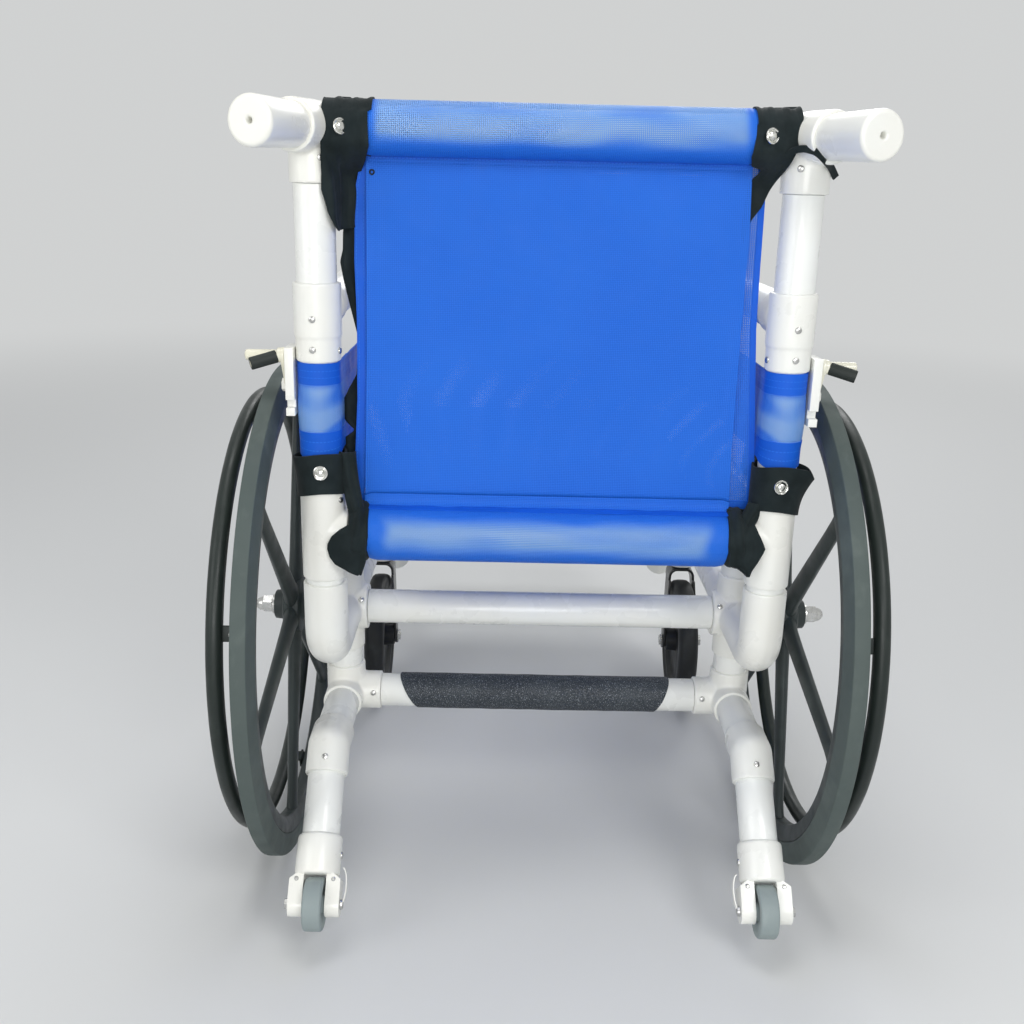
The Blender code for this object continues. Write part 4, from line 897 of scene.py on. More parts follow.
# Side panels: a low band of the same mesh on each side of the seat, with a sleeve round the back
# post and one round the front post. Closer tape is sewn along its upper and lower edges.
sleeve_low, sleeve_high, sleeve_r = 0.5440, 0.6400, 0.0217
post_rear, post_front = (side_x, back_y), (side_x, stem_y)
band_x = side_x - 0.0226
# The band's route in plan: here around() turns from outside (+X) towards the rear (+Y).
side_points = [
    (side_x - 0.0214, back_y - 0.052), (side_x - 0.0214, back_y - 0.022),
    *around(post_rear, sleeve_r, -150, 180, 56),
    (band_x, back_y - 0.06), (band_x - 0.001, back_y - 0.20), (band_x - 0.002, back_y - 0.34),
    (band_x, stem_y + 0.04), *around(post_front, sleeve_r, 180, 510, 56),
    (side_x - 0.0212, stem_y + 0.022), (side_x - 0.0212, stem_y + 0.052),
]
side_length, side_at = path(side_points)
side_height = sleeve_high - sleeve_low


def side_place(across, along):
    """A straight band between two sleeves. The rear one swells at mid height, and its foot drops."""
    x, y = side_at(along)
    z = (sleeve_low + sleeve_high) / 2 + across
    out = Vector((x - side_x, y - back_y))
    rise = (z - sleeve_low) / side_height
    if out.length < 0.03 and y > back_y - 0.022:
        facing = math.atan2(out.y, out.x)
        middle = math.sin(math.pi * ramp(rise, 0.16, 0.78)) ** 0.8
        full = (0.5 + 0.5 * math.sin(facing)) * middle
        swell = 0.0027 * full + full * soft(facing * 0.035, 2.0, z * 0.6, 60, 0.0012)
        swell += 0.0005 * full * math.sin(facing * 34)
        x, y = Vector(post_rear) + out * (1 + swell / sleeve_r)
        if rise < 0.25:
            z -= (0.25 - rise) / 0.25 * 0.0085 * max(0.0, math.sin(facing)) ** 0.6
    else:
        x += soft(y, z, 1.0, 16, 0.0016) * ramp(y, back_y - 0.03, back_y - 0.08)
    return Vector((x, y, z))


side_cloth = sewn(
    cloth(44, 420, side_height, side_length, side_place), "side_mesh_left", blue_mesh, "blue_mesh",
    "side_panel_left",
)


def sleeve_open_and_lit(place):
    """Round the back post the weave's holes open and its yarn is painted lighter, as painted highlight, most
    where the sleeve stands off it.
    """
    rise = (place.z - sleeve_low) / side_height
    band = eased(rise, 0.14, 0.30) * (1 - eased(rise, 0.68, 0.80))
    crease = 0.75 + 1.6 * noise.noise(Vector((place.x * 30 + place.z * 26, 4.0, place.z * 42)))
    return eased(place.y, back_y - 0.024, back_y - 0.018) * band * min(max(crease, 0.15), 1.0)


mark_open_and_lit(side_cloth, sleeve_open_and_lit)
side_hems, hem_start = [], 0.052
for hem_name, middle, wide in (("upper", 0.0365, 0.0220), ("lower", -0.0362, 0.0225)):
    def hem_strip(across, along):
        place = side_place(middle + across, hem_start + along)
        out = Vector((place.x - side_x, place.y - back_y, 0))
        ahead = Vector((place.x - side_x, place.y - stem_y, 0))
        near = out if out.length < ahead.length else ahead
        if near.length < 0.03:
            return place + near.normalized() * 0.0007
        return place - Vector((0.0009, 0, 0))
    strip = cloth(10, 240, wide, side_length - 2 * hem_start, hem_strip)
    side_hems.append(tape(strip, f"side_tape_{hem_name}_left", 0.0010))
right_cloth = other_side(side_cloth, "side_mesh_left", "frame", "blue_mesh", "side_panel_left")
right_hems = [other_side(hem, hem.name, "frame", "blue_mesh") for hem in side_hems]

# Straps: black coated webbing, soft and a little bunched. The upper ones wrap the inner sockets of
# the corner fittings and hang behind, the lower ones close round the posts and end in a knot.
black_webbing, webbing_shader = finish(
    "black_webbing", (0.017, 0.024, 0.024), 0.78, Sheen_Weight=0.05, Specular_IOR_Level=0.16,
)
dressed(
    black_webbing, webbing_shader,
    tint(
        black_webbing, spread(black_webbing, grain(black_webbing, 45.0, 5.0), 0.0, 1.0),
        (0.007, 0.012, 0.013), (0.015, 0.023, 0.025),
    ),
    spread(black_webbing, grain(black_webbing, 70.0, 4.0), 0.66, 0.88),
    (grain(black_webbing, 240.0, 4.0), 0.25, 0.0005), (grain(black_webbing, 55.0, 3.0), 0.35, 0.0012),
    (ribs(black_webbing, "X", Scale=300.0, Distortion=0.6), 0.16, 0.0003),
)


def strap(piece, name, *nodes, thick=0.0020):
    return sewn(piece, name, black_webbing, "black_strap", *nodes, thick=thick)


wrap_r, strap_width = 0.0262, 0.056
wrap = around((back_y, top_z), wrap_r, 262, -4, 44)
# Where the hanging part's outer and inner edges lie, as rows of (height, distance from the middle).
strap_edges = {
    "left": (
        [(0.774, 0.2235), (0.779, 0.2262), (0.792, 0.2311), (0.802, 0.2332), (0.814, 0.2366), (0.888, 0.2350),
         (0.900, 0.2360)],
        [(0.774, 0.2020), (0.820, 0.2020), (0.831, 0.2020), (0.843, 0.1945), (0.856, 0.1890), (0.875, 0.1895),
         (0.900, 0.1900)],
    ),
    "right": (
        [(0.770, 0.1925), (0.793, 0.1990), (0.806, 0.2083), (0.824, 0.2157), (0.835, 0.2205), (0.848, 0.2263),
         (0.862, 0.2308), (0.876, 0.2343), (0.900, 0.2348)],
        [(0.770, 0.1900), (0.793, 0.1900), (0.823, 0.1930), (0.833, 0.2000), (0.840, 0.2010), (0.844, 0.1900),
         (0.853, 0.1870), (0.875, 0.1895), (0.900, 0.1900)],
    ),
}
for side, hand in left_right:
    outer_edge, inner_edge = strap_edges[side]
    tail_y, strap_foot = wrap[-1][0], outer_edge[0][0]
    strap_points = wrap + [(tail_y + 0.0006, 0.860), (tail_y, 0.835), (tail_y - 0.001, strap_foot)]
    strap_length, strap_at = path(strap_points)

    def strap_place(across, along):
        """Round the socket in soft folds, then down. On the left the hanging part bends round the post."""
        y, z = strap_at(along)
        u = 0.5 - across / strap_width
        if along <= strap_length - 0.115:
            outer = 0.2218 if along < 0.075 else 0.2348
            inner = 0.1905 - 0.0045 * eased(hand * z, 0.878, 0.890)
            fold = max(0.0, 0.0013 * math.sin(u * 19 + z * 30) + soft(u * 0.06, z, hand * 3.0, 45, 0.0018))
            out = Vector((y - back_y, z - top_z))
            out = out.normalized() * (out.length + fold)
            return Vector((hand * (outer + (inner - outer) * u), back_y + out.x, top_z + out.y))
        outer, inner = between(outer_edge, z), between(inner_edge, z)
        fall = 1 - eased(z, 0.820, 0.862)
        fold = 0.0016 * math.sin(u * 21 + 2.2 * math.sin(z * 60))
        fold += soft(u * 0.07, z * 0.5, hand * 3.0, 45, 0.0020)
        fold *= 0.4 + 0.6 * fall
        x = outer + (inner - outer) * u
        if hand < 0:
            y = y + (panel_y - 0.0024 - y) * fall + max(0.0, fold) * (1 - fall)
            return Vector((-x, y, z + 0.006 * u * fall))
        start = math.acos(min(max((outer - side_x) / wrap_r, -1.0), -0.3))
        arc = wrap_r * (math.radians(176) - start)
        reach = Vector((inner - side_x + wrap_r, -0.0200))
        gone = u * (arc + reach.length)
        if gone < arc:
            facing = start + gone / wrap_r
            bent = Vector((side_x + wrap_r * math.cos(facing), back_y + wrap_r * math.sin(facing)))
        else:
            bent = Vector((side_x - wrap_r, back_y)) + reach * (gone - arc) / reach.length
        x += (bent.x - x) * fall
        y += (bent.y - y) * fall + max(0.0, fold + 0.0010) * (1 - 0.5 * fall)
        return Vector((x - 0.6 * max(0.0, fold) * fall, y, z + 0.004 * fall * u))

    strap(
        cloth(44, 130, strap_width, strap_length, strap_place), "top_strap_cloth_" + side, "top_strap_" + side,
        thick=0.0018,
    )

# On the left a narrower end of the same webbing hangs on in waves behind the sling, down to the
# lower strap.
wave_wide, wave_long, wave_foot, wave_y = 0.022, 0.300, 0.500, 0.3662
wave_edge = [
    (wave_foot, 0.2289), (0.545, 0.2285), (0.551, 0.2265), (0.5614, 0.2139), (0.5723, 0.2246), (0.5889, 0.2286),
    (0.606, 0.2200), (0.6221, 0.2110), (0.660, 0.2085), (0.6831, 0.2136), (0.7123, 0.2203), (0.741, 0.2260),
    (0.7533, 0.2225), (0.7715, 0.2221), (0.800, 0.2200),
]


def wave_place(across, along):
    """Behind the sling, and drawn forward where it comes near the post."""
    z = wave_foot + along
    u = across / wave_wide + 0.5
    x = between(wave_edge, z) - wave_wide * u
    clear = max(0.0, x - 0.2215)
    return Vector((x, wave_y - 1.1 * clear + 0.0016 * math.sin(u * 7 + z * 35) - 0.0020 * u, z))


wave = strap(cloth(14, 120, wave_wide, wave_long, wave_place), "strap_long_end", thick=0.0016)

# On the right a narrow spare end of the upper strap is passed over the post's socket, under the
# push handle, and hangs down beside it.
spare_length, spare_at = path([
    (-0.2180, 0.4030, 0.8480), (-0.2212, 0.4128, 0.8561), (-0.2261, 0.4152, 0.8617), (-0.2338, 0.4226, 0.8633),
    (-0.2436, 0.4352, 0.8601), (-0.2521, 0.4328, 0.8536), (-0.2600, 0.4185, 0.8500), (-0.2672, 0.4042, 0.8469),
    (-0.2769, 0.3920, 0.8366),
])


def spare_place(across, along):
    ahead = spare_at(along + 0.005) - spare_at(along - 0.005)
    centre = (spare_at(along + 0.004) + spare_at(along - 0.004) + spare_at(along)) / 3
    return centre + Vector((-ahead.z, 0, ahead.x)).normalized() * across


spare_end = strap(cloth(6, 60, 0.0068, spare_length, spare_place), "strap_spare_end", thick=0.0022)

# Lower straps: a flared ring of webbing on the post, a gathered length down from it, and a bunched
# knot round the lower tube's socket with a pointed end.
ring_r, ring_wide, ring_length = 0.0263, 0.0495, 2 * math.pi * 0.0268
# Where the knot's pointed end has its outer and inner edge, as rows of (height, distance from the middle).
lobe_edges = {
    "left": (
        [(0.4098, 0.2080), (0.4105, 0.2110), (0.4130, 0.2170), (0.4209, 0.2325), (0.4285, 0.2380),
         (0.4378, 0.2406), (0.4436, 0.2402), (0.4530, 0.2355), (0.4610, 0.2260), (0.4660, 0.2165),
         (0.4800, 0.2145)],
        [(0.4098, 0.2040), (0.4260, 0.1985), (0.4800, 0.1975)],
    ),
    "right": (
        [(0.4170, 0.2215), (0.4230, 0.2240), (0.4330, 0.2300), (0.4430, 0.2350), (0.4482, 0.2370),
         (0.4530, 0.2350), (0.4765, 0.2235), (0.4850, 0.2200)],
        [(0.4170, 0.2195), (0.4220, 0.2140), (0.4275, 0.2060), (0.4290, 0.1985), (0.4850, 0.1975)],
    ),
}
for side, hand in left_right:
    def ring_place(across, along):
        """Round the post, flared at its upper edge, lower and longer on the outer side."""
        turn = 2 * math.pi * along / ring_length - math.pi / 2
        rise = across / ring_wide + 0.5
        facing = max(0.0, math.sin(turn))
        outer = (1 + math.cos(turn)) / 2
        if hand > 0:
            low = 0.4964 + 0.0182 * outer - 0.0228 * outer ** 2
            high = 0.5417 + 0.0123 * outer - 0.0170 * outer ** 2
        else:
            low = 0.4877 + 0.0161 * outer - 0.0218 * outer ** 2
            high = 0.5354 + 0.0229 * outer - 0.0238 * outer ** 2
        corner_out = max(0.0, math.cos(turn - math.radians(12))) ** 6
        z = low + (high - low) * rise - (0.0 if hand > 0 else 0.0105) * corner_out ** 5 * rise
        corner_out *= (0.0042 if hand > 0 else 0.0135) * rise ** 2
        uneven = facing * (0.0009 * rise + soft(turn * 0.02, z, hand * 2.0, 70, 0.0009))
        radius = max(ring_r + corner_out + uneven, ring_r)
        return Vector((hand * (side_x + radius * math.cos(turn)), back_y + radius * math.sin(turn), z))

    ring = strap(
        cloth(24, 120, ring_wide, ring_length, ring_place), "post_strap_" + side, "low_strap_" + side,
        thick=0.0022,
    )
    tie_wide, tie_long, tie_foot = 0.036, 0.0720, 0.4690
    if hand > 0:
        tie_top, tie_in, tie_lean, tie_half = 0.5440, 0.0290, 0.0105, 0.0085
    else:
        tie_top, tie_in, tie_lean, tie_half = 0.4970, 0.0077, 0.0248, 0.0095

    def tie_place(across, along):
        """Pleated, from the ring inwards and down to the knot."""
        z = tie_top - along * (tie_top - tie_foot) / tie_long
        share = (0.5440 - z) / 0.0750
        turn = across / tie_wide * math.pi * 1.1
        pleat = 1 + 0.16 * math.sin(turn * 5 + share * 3) + soft(turn, share * 3, hand, 1.5, 0.10)
        x = side_x - tie_in - tie_lean * share ** 1.5 + tie_half * math.sin(turn)
        y = back_y + 0.0085 + 0.0035 * share + 0.0065 * math.cos(turn) * pleat
        return Vector((hand * x, y, z))

    tie = strap(cloth(36, 40, tie_wide, tie_long, tie_place), "strap_gather_" + side, thick=0.0016)
    knot_wide, knot_long = 0.024, 0.190

    def knot_place(across, along):
        """Bunched round the socket, fullest in the middle and low down."""
        turn = 2 * math.pi * along / knot_long
        facing = max(0.0, math.sin(turn))
        low = max(0.0, math.sin(turn - math.radians(155))) ** 6
        share = across / knot_wide
        pleat = soft(turn * 0.05, across * 2, hand, 30, 0.0022)
        pleat += 0.0016 * math.sin(share * 11 + 2.0 * math.sin(turn * 2))
        radius = max(0.0274 + 0.0060 * (1 - (2 * share) ** 2) + pleat * 0.6 + 0.0035 * low, 0.0264)
        x = side_x - 0.0412 + across * (0.76 + 0.10 * facing)
        return Vector((hand * x, back_y + radius * math.sin(turn), seat_z + radius * math.cos(turn)))

    knot = strap(cloth(26, 130, knot_wide, knot_long, knot_place), "strap_knot_" + side)
    outer_edge, inner_edge = lobe_edges[side]
    lobe_wide, lobe_long = 0.040, 0.080

    def lobe_place(across, along):
        """The pointed end, lying on the roll and hanging free under its middle."""
        z = outer_edge[0][0] + along * (outer_edge[-1][0] - outer_edge[0][0]) / lobe_long
        u = across / lobe_wide + 0.5
        outer, inner = between(outer_edge, z), between(inner_edge, z)
        x = inner + (outer - inner) * u
        rise = z - seat_z + roll_drop
        hang = 0.0292 + 0.0024 * (1 - eased(x, 0.199, 0.207))
        hang = hang if rise < 0 else math.sqrt(max(hang ** 2 - rise ** 2, 0.0))
        pleat = 0.0012 * math.sin(u * 8 + z * 50) + soft(x, z, hand * 4.0, 55, 0.0016)
        cup = 0.0030 * max(0.0, x - 0.222) / 0.020
        return Vector((hand * x, back_y + hang + max(pleat, -0.0006) - cup, z))

    lobe = strap(cloth(26, 50, lobe_wide, lobe_long, lobe_place), "strap_lobe_" + side)

# Snaps and screws: nickel-plated snap caps on the straps, and small stainless pan-head screws
# that pin the pipes in their fittings.
def plated(name, color, roughness):
    made, shader = finish(name, color, roughness, 1.0)
    dressed(
        made, shader, tint(made, spread(made, grain(made, 90.0, 4.0), 0.0, 1.0), color, duller(color)),
        spread(made, grain(made, 160.0, 4.0), roughness - 0.07, roughness + 0.12),
        (grain(made, 700.0, 2.0, (1, 1, 0.15)), 0.12, 0.0002),
    )
    return made


steel = plated("stainless_steel", (0.66, 0.66, 0.64), 0.26)
hole_shade_metal = plated("painted_hole_shade", (0.035, 0.040, 0.045), 0.42)
nickel = plated("nickel_plate", (0.80, 0.80, 0.76), 0.16)


def bright_piece(piece, name, body="frame", surface=steel):
    return placed(piece, name, surface, body, "steel", angle=30)


# A small dark ring round a hole in the panel under the left end of the upper roll: its dark colour is painted
# shade for a small hole there.
bright_piece(turned((0.190, panel_y + 0.0008, 0.8317), (0, 1, 0), [
    (-0.0008, 0.0012), (-0.0008, 0.0028), (0.0002, 0.0030), (0.0008, 0.0027), (0.0009, 0.0022),
    (0.0005, 0.0015), (-0.0004, 0.0012),
], sides=32), "sling_dark_hole_ring", surface=hole_shade_metal)

for name, place, facing in (
    ("snap_top_left", (0.2158, back_y + 0.0285, 0.8737), (-0.62, 0.77, 0.12)),
    ("snap_top_right", (-0.2046, back_y + 0.0285, 0.8741), (-0.45, 0.88, 0.14)),
    ("snap_post_left", (0.2455, back_y + 0.0279, 0.5240), (-0.05, 1.0, 0.10)),
    ("snap_post_right", (-0.2475, back_y + 0.0279, 0.5190), (-0.10, 0.99, 0.10)),
):
    bright_piece(turned(place, facing, [
        (-0.0006, 0.0060), (-0.0006, 0.0076), (0.0003, 0.0080), (0.0010, 0.0078), (0.0015, 0.0070),
        (0.0013, 0.0062), (0.0005, 0.0055), (0.0004, 0.0048), (0.0012, 0.0043), (0.0024, 0.0036),
        (0.0029, 0.0022), (0.0030, 0.0006),
    ], sides=40), name, surface=nickel)


def screw(name, place, facing, body="frame", head=0.0036):
    """A pan-head screw, drawn without the cross recess in its head."""
    pan = turned(place, facing, [
        (-0.0010, head), (0.0002, head), (0.0011, head * 0.90), (0.0017, head * 0.62), (0.0019, head * 0.10),
    ], sides=28)
    bright_piece(pan, name, body)


def on_pipe(axis_point, radius, turn, height):
    """A place and a facing on an upright fitting's skin. turn is 0 at the rear and grows inwards."""
    out = Vector((-math.sin(math.radians(turn)), math.cos(math.radians(turn)), 0))
    return Vector((axis_point[0], axis_point[1], height)) + out * radius, out


leg_out = Vector((0, 0.70711, 0.70711))
for side, hand in left_right:
    for name, centre, radius, turn, height in (
        ("corner_screw", (side_x, back_y), 0.0245, 27, 0.8445),
        ("arm_sleeve_screw", (side_x, back_y), 0.0251, -4, 0.6860),
        ("arm_collar_screw", (side_x, back_y), 0.0238, -6, 0.6545),
        ("arm_inner_screw", (side_x, back_y), 0.0238, 76, 0.6520),
        ("seat_tee_screw", (side_x, back_y), 0.0245, 60, 0.4900),
        ("housing_screw", (side_x, stem_y), 0.0245, 150, 0.3420),
    ):
        place, facing = on_pipe(centre, radius, turn, height)
        screw(f"{name}_{side}", handed(place, hand), handed(facing, hand))
    for name, place, facing in (
        ("elbow_screw", leg_bend + 0.020 * leg_run + socket_r * leg_out, (0, 1, 1)),
        ("lower_tube_screw", low_corner + Vector((-0.0370, 0.0242 * 0.96, 0.0242 * 0.25)), (0, 0.96, 0.25)),
        ("axle_collar_screw", hub + Vector((-0.0240, 0.0285 * 0.8, 0.0285 * 0.6)), (0, 0.8, 0.6)),
        ("rail_screw", rail + Vector((0, 0.036, 0.0245)), (0, 0, 1)),
        ("armrest_screw", arm_front + Vector((0.0245, 0.034, 0)), (1, 0, 0)),
    ):
        screw(f"{name}_{side}", handed(place, hand), handed(facing, hand))

# Large wheels: a grey solid tyre pressed on a dark one-piece moulded wheel with six oval spokes,
# and outside it a vinyl-coated handrim on six bent tabs.
def rubber(name, color, light, roughness, scuffing=0.6, **values):
    """Matt rubber or plastic: mottled, with pale scuffs and a fine moulded texture."""
    made, shader = finish(name, color, roughness, Specular_IOR_Level=0.32, **values)
    mottled = tuple(0.8 * a + 0.2 * b for a, b in zip(color, light))
    clouds = spread(made, grain(made, 14.0, 5.0), 0.0, 1.0)
    scuffs = spread(made, grain(made, 55.0, 8.0, (1.0, 0.5, 0.5)), 0.0, scuffing, 0.56, 0.80)
    dressed(
        made, shader, tint(made, scuffs, tint(made, clouds, color, mottled), light),
        spread(made, grain(made, 38.0, 5.0), roughness - 0.09, roughness + 0.12),
        (grain(made, 420.0, 3.0), 0.22, 0.0004), (grain(made, 60.0, 4.0), 0.15, 0.0010),
    )
    return made


def mirrored(half):
    """A wheel's whole outline from its outer half, whose points are (distance from its middle, radius)."""
    return half + [(-along, radius) for along, radius in reversed(half)]


tyre_rubber = rubber("grey_tyre_rubber", (0.074, 0.095, 0.090), (0.120, 0.148, 0.138), 0.62, 0.7)
wheel_plastic = rubber("dark_wheel_plastic", (0.024, 0.032, 0.032), (0.056, 0.072, 0.070), 0.42)
rim_vinyl = rubber("handrim_vinyl", (0.014, 0.020, 0.018), (0.042, 0.054, 0.047), 0.38)

wheel_x, wheel_r, rim_r = 0.311, 0.305, 0.279
wheel_place = Vector((wheel_x, axle_y, axle_z))
tyre_half = [
    (0.0109, rim_r + 0.0004), (0.0118, 0.2803), (0.0125, 0.2815), (0.0129, 0.2828), (0.0130, 0.2840),
    (0.0128, 0.2854), (0.0086, 0.3025), (0.0083, 0.3037), (0.0077, 0.3045), (0.0064, 0.3049), (0.0012, wheel_r),
    (0.0009, wheel_r),
]
both_sides(
    turned(wheel_place, X, mirrored(tyre_half), 160, loop=True), "tyre_rubber_left", tyre_rubber,
    "rear_wheel_left", "grey_tyre", "tyre_left",
)

rim_half = [
    (0.0106, rim_r), (0.0111, 0.2785), (0.0112, 0.2745), (0.0110, 0.2690), (0.0102, 0.2655), (0.0086, 0.2618),
    (0.0077, 0.2600), (0.0064, 0.2592), (0.0020, 0.2590),
]
rim = turned(wheel_place, X, mirrored(rim_half), 160, loop=True)
hub_barrel = turned(wheel_place, X, [
    (-0.0317, 0.0070), (-0.0317, 0.0172), (-0.0308, 0.0180), (-0.0160, 0.0186), (-0.0120, 0.0200),
    (-0.0104, 0.0225), (-0.0100, 0.0322), (-0.0088, 0.0338), (-0.0070, 0.0340), (0.0070, 0.0340),
    (0.0088, 0.0338), (0.0100, 0.0322), (0.0104, 0.0225), (0.0120, 0.0200), (0.0160, 0.0186), (0.0226, 0.0180),
    (0.0236, 0.0170), (0.0240, 0.0160), (0.0240, 0.0070),
], 72, loop=True)
spokes = []
for i in range(6):
    arm_spoke = turned((0, 0, 0), Z, [
        (0.0240, 0.0185), (0.0300, 0.0172), (0.0360, 0.0158), (0.0460, 0.0147), (0.0700, 0.0139),
        (0.1500, 0.0124), (0.2150, 0.0112), (0.2400, 0.0112), (0.2500, 0.0121), (0.2570, 0.0140),
        (0.2620, 0.0165),
    ], 36)
    for vertex in arm_spoke.data.vertices:
        rise = vertex.co.z
        flare = max(0.0, (rise - 0.246) / 0.016)
        vertex.co.x *= 0.50 + 0.06 * (rise > 0.03) - 0.10 * min(flare, 1)
    arm_spoke.location = wheel_place
    arm_spoke.rotation_euler = (math.radians(15.5 + 60 * i), 0, 0)
    spokes.append(arm_spoke)
both_sides(
    merged([rim, hub_barrel, *spokes]), "moulded_wheel_left", wheel_plastic, "rear_wheel_left", "dark_wheel",
    "wheel_left", angle=40,
)

hoop_x, hoop_r = 0.344, 0.265
tab_turns = [math.radians(45.5 + 60 * i) for i in range(6)]
bpy.ops.object.select_all(action="DESELECT")
bpy.ops.mesh.primitive_torus_add(
    major_segments=180, minor_segments=28, major_radius=hoop_r, minor_radius=0.0090,
    location=(hoop_x, axle_y, axle_z), rotation=(0, math.pi / 2, 0),
)
hoop = bpy.context.object
tabs = []
for turn in tab_turns:
    for size, offset, lift in (
        ((0.0210, 0.0170, 0.0036), 0.0205, hoop_r - 0.0006),
        ((0.0032, 0.0200, 0.0150), 0.0129, hoop_r + 0.0030),
    ):
        bpy.ops.object.select_all(action="DESELECT")
        bpy.ops.mesh.primitive_cube_add(size=1, location=(0, 0, 0))
        tab = bpy.context.object
        tab.scale = size
        bpy.ops.object.transform_apply(location=False, rotation=False, scale=True)
        edged(tab, 0.0012)
        tab.rotation_euler = (turn, 0, 0)
        tab.location = wheel_place + Matrix.Rotation(turn, 3, "X") @ Vector((offset, 0, lift))
        tabs.append(applied(tab))
both_sides(
    merged([hoop, *tabs]), "handrim_hoop_left", rim_vinyl, "rear_wheel_left", "handrim_coat", "handrim_left",
)
for side, hand in left_right:
    for number, turn in enumerate(tab_turns, 1):
        place = wheel_place + Matrix.Rotation(turn, 3, "X") @ Vector((0.0146, 0, hoop_r + 0.0072))
        screw(f"tab_screw_{number}_{side}", handed(place, hand), (hand, 0, 0), "rear_wheel_" + side, 0.0030)

# Wheel axle: one stainless rod through the axle tube and both wheels, with a washer and a capped
# nut at each end.
axle_pieces = [bar((-0.3395, axle_y, axle_z), (0.3395, axle_y, axle_z), 0.0063, sides=40)]
for hand in (1, -1):
    axle_pieces.append(turned((hand * 0.3353, axle_y, axle_z), (hand, 0, 0), [
        (0.0, 0.0066), (0.0, 0.0121), (0.0004, 0.0125), (0.0026, 0.0125), (0.0030, 0.0121), (0.0030, 0.0066),
    ], 48, loop=True))
    nut = turned((hand * 0.3384, axle_y, axle_z), (hand, 0, 0), [
        (0.0, 0.0098), (0.0007, 0.0109), (0.0118, 0.0109), (0.0126, 0.0098),
    ], 6)
    dome = turned((hand * 0.3505, axle_y, axle_z), (hand, 0, 0), [
        (0.0, 0.0092), (0.0010, 0.0088), (0.0040, 0.0082), (0.0072, 0.0064), (0.0093, 0.0038), (0.0101, 0.0010),
    ], 40)
    axle_pieces += [nut, dome]
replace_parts(bright_piece(merged(axle_pieces), "axle_rod"), "wheel_axle")

# Grip tape: dark tape with a face of coarse grit, stuck round the lower cross tube in one turn.
# Its overlap stands up a little behind, and its ends are a little uneven.
grit, grit_shader = finish("grit_tape", (0.038, 0.048, 0.060), 0.9)
clouds = spread(grit, grain(grit, 22.0, 4.0), 0.0, 1.0)
worn_grit = tint(grit, clouds, (0.022, 0.028, 0.037), (0.037, 0.046, 0.055))
specks = spread(grit, grain(grit, 900.0, 2.0), 0.0, 1.0, 0.58, 0.72)
dressed(
    grit, grit_shader, tint(grit, specks, worn_grit, (0.30, 0.33, 0.36)),
    spread(grit, grain(grit, 700.0, 2.0), 0.35, 1.0, 0.35, 0.62),
    (grain(grit, 650.0, 3.0), 0.6, 0.0006), (grain(grit, 40.0, 3.0), 0.3, 0.0012),
)
tape_points = [(-0.178, 0.0215), (-0.178, 0.0226), (-0.1775, 0.0229)]
tape_points += [(-0.1770 + 0.3540 * i / 90, 0.0230) for i in range(91)]
tape_points += [(0.1775, 0.0229), (0.178, 0.0226), (0.178, 0.0215)]
tape_piece = turned((0, axle_y, low_z), X, tape_points, 64, loop=True)
for vertex in tape_piece.data.vertices:
    out = Vector((vertex.co.x, vertex.co.y, 0))
    if out.length > 0.0222:
        seam = 0.0007 if math.degrees(math.atan2(out.y, out.x)) % 360 < 78 else 0.0
        vertex.co += out.normalized() * (seam + soft(*vertex.co, 45, 0.0004) - 0.0003)
    low = (1 - out.normalized().y) / 2
    vertex.co.z *= 1 - 0.14 * low if vertex.co.z > 0 else 0.955 - 0.11 * low
placed(tape_piece, "grit_tape_wrap", grit, "frame", "grip_tape", "grip_tape")

# Casters: a solid black rubber wheel on a bolt, in a fork pressed from plate and painted black,
# whose stem turns in the housing at the foot of the front upright.
caster_rubber = rubber("black_caster_rubber", (0.016, 0.018, 0.019), (0.052, 0.058, 0.058), 0.50)
fork_paint = rubber(
    "black_fork_paint", (0.013, 0.014, 0.015), (0.085, 0.090, 0.088), 0.32, Coat_Weight=0.4,
)
caster_place = Vector((side_x, stem_y + 0.040, 0.100))
caster_half = [
    (0.0243, 0.0052), (0.0243, 0.0150), (0.0232, 0.0166), (0.0070, 0.0178), (0.0060, 0.0200), (0.0058, 0.0560),
    (0.0068, 0.0640), (0.0120, 0.0690), (0.0130, 0.0715), (0.0130, 0.0790), (0.0142, 0.0808), (0.0154, 0.0830),
    (0.0154, 0.0880), (0.0146, 0.0930), (0.0128, 0.0967), (0.0098, 0.0990), (0.0050, 0.0999), (0.0006, 0.1000),
]
both_sides(
    turned(caster_place, X, mirrored(caster_half), 120, loop=True), "caster_tyre_left", caster_rubber,
    "caster_roller_left", "black_caster", "caster_wheel_left",
)


def fork_plate(hand):
    """One leg: a round eye at the axle, straight edges up to the crown, leaning in and forward."""
    eye_r, height = 0.013, 0.0975
    bpy.ops.object.select_all(action="DESELECT")
    bpy.ops.mesh.primitive_circle_add(vertices=48, radius=eye_r, fill_type="NGON", location=(0, 0, 0))
    leg = bpy.context.object
    for vertex in leg.data.vertices:
        across, up = vertex.co.x, vertex.co.y
        if up > -0.0001:
            vertex.co = (0, -0.040 * height / 0.117 + across / eye_r * 0.0185, height)
        else:
            vertex.co = (0, across, up)
    bpy.ops.object.mode_set(mode="EDIT")
    bpy.ops.mesh.select_all(action="SELECT")
    bpy.ops.mesh.remove_doubles(threshold=0.0002)
    bpy.ops.mesh.normals_make_consistent(inside=False)
    bpy.ops.object.mode_set(mode="OBJECT")
    walled(leg, 0.0040)
    edged(leg, 0.0011)
    applied(leg)
    for vertex in leg.data.vertices:
        vertex.co.x += hand * (0.027 - 0.0075 * vertex.co.z / height)
    leg.location = caster_place
    return leg


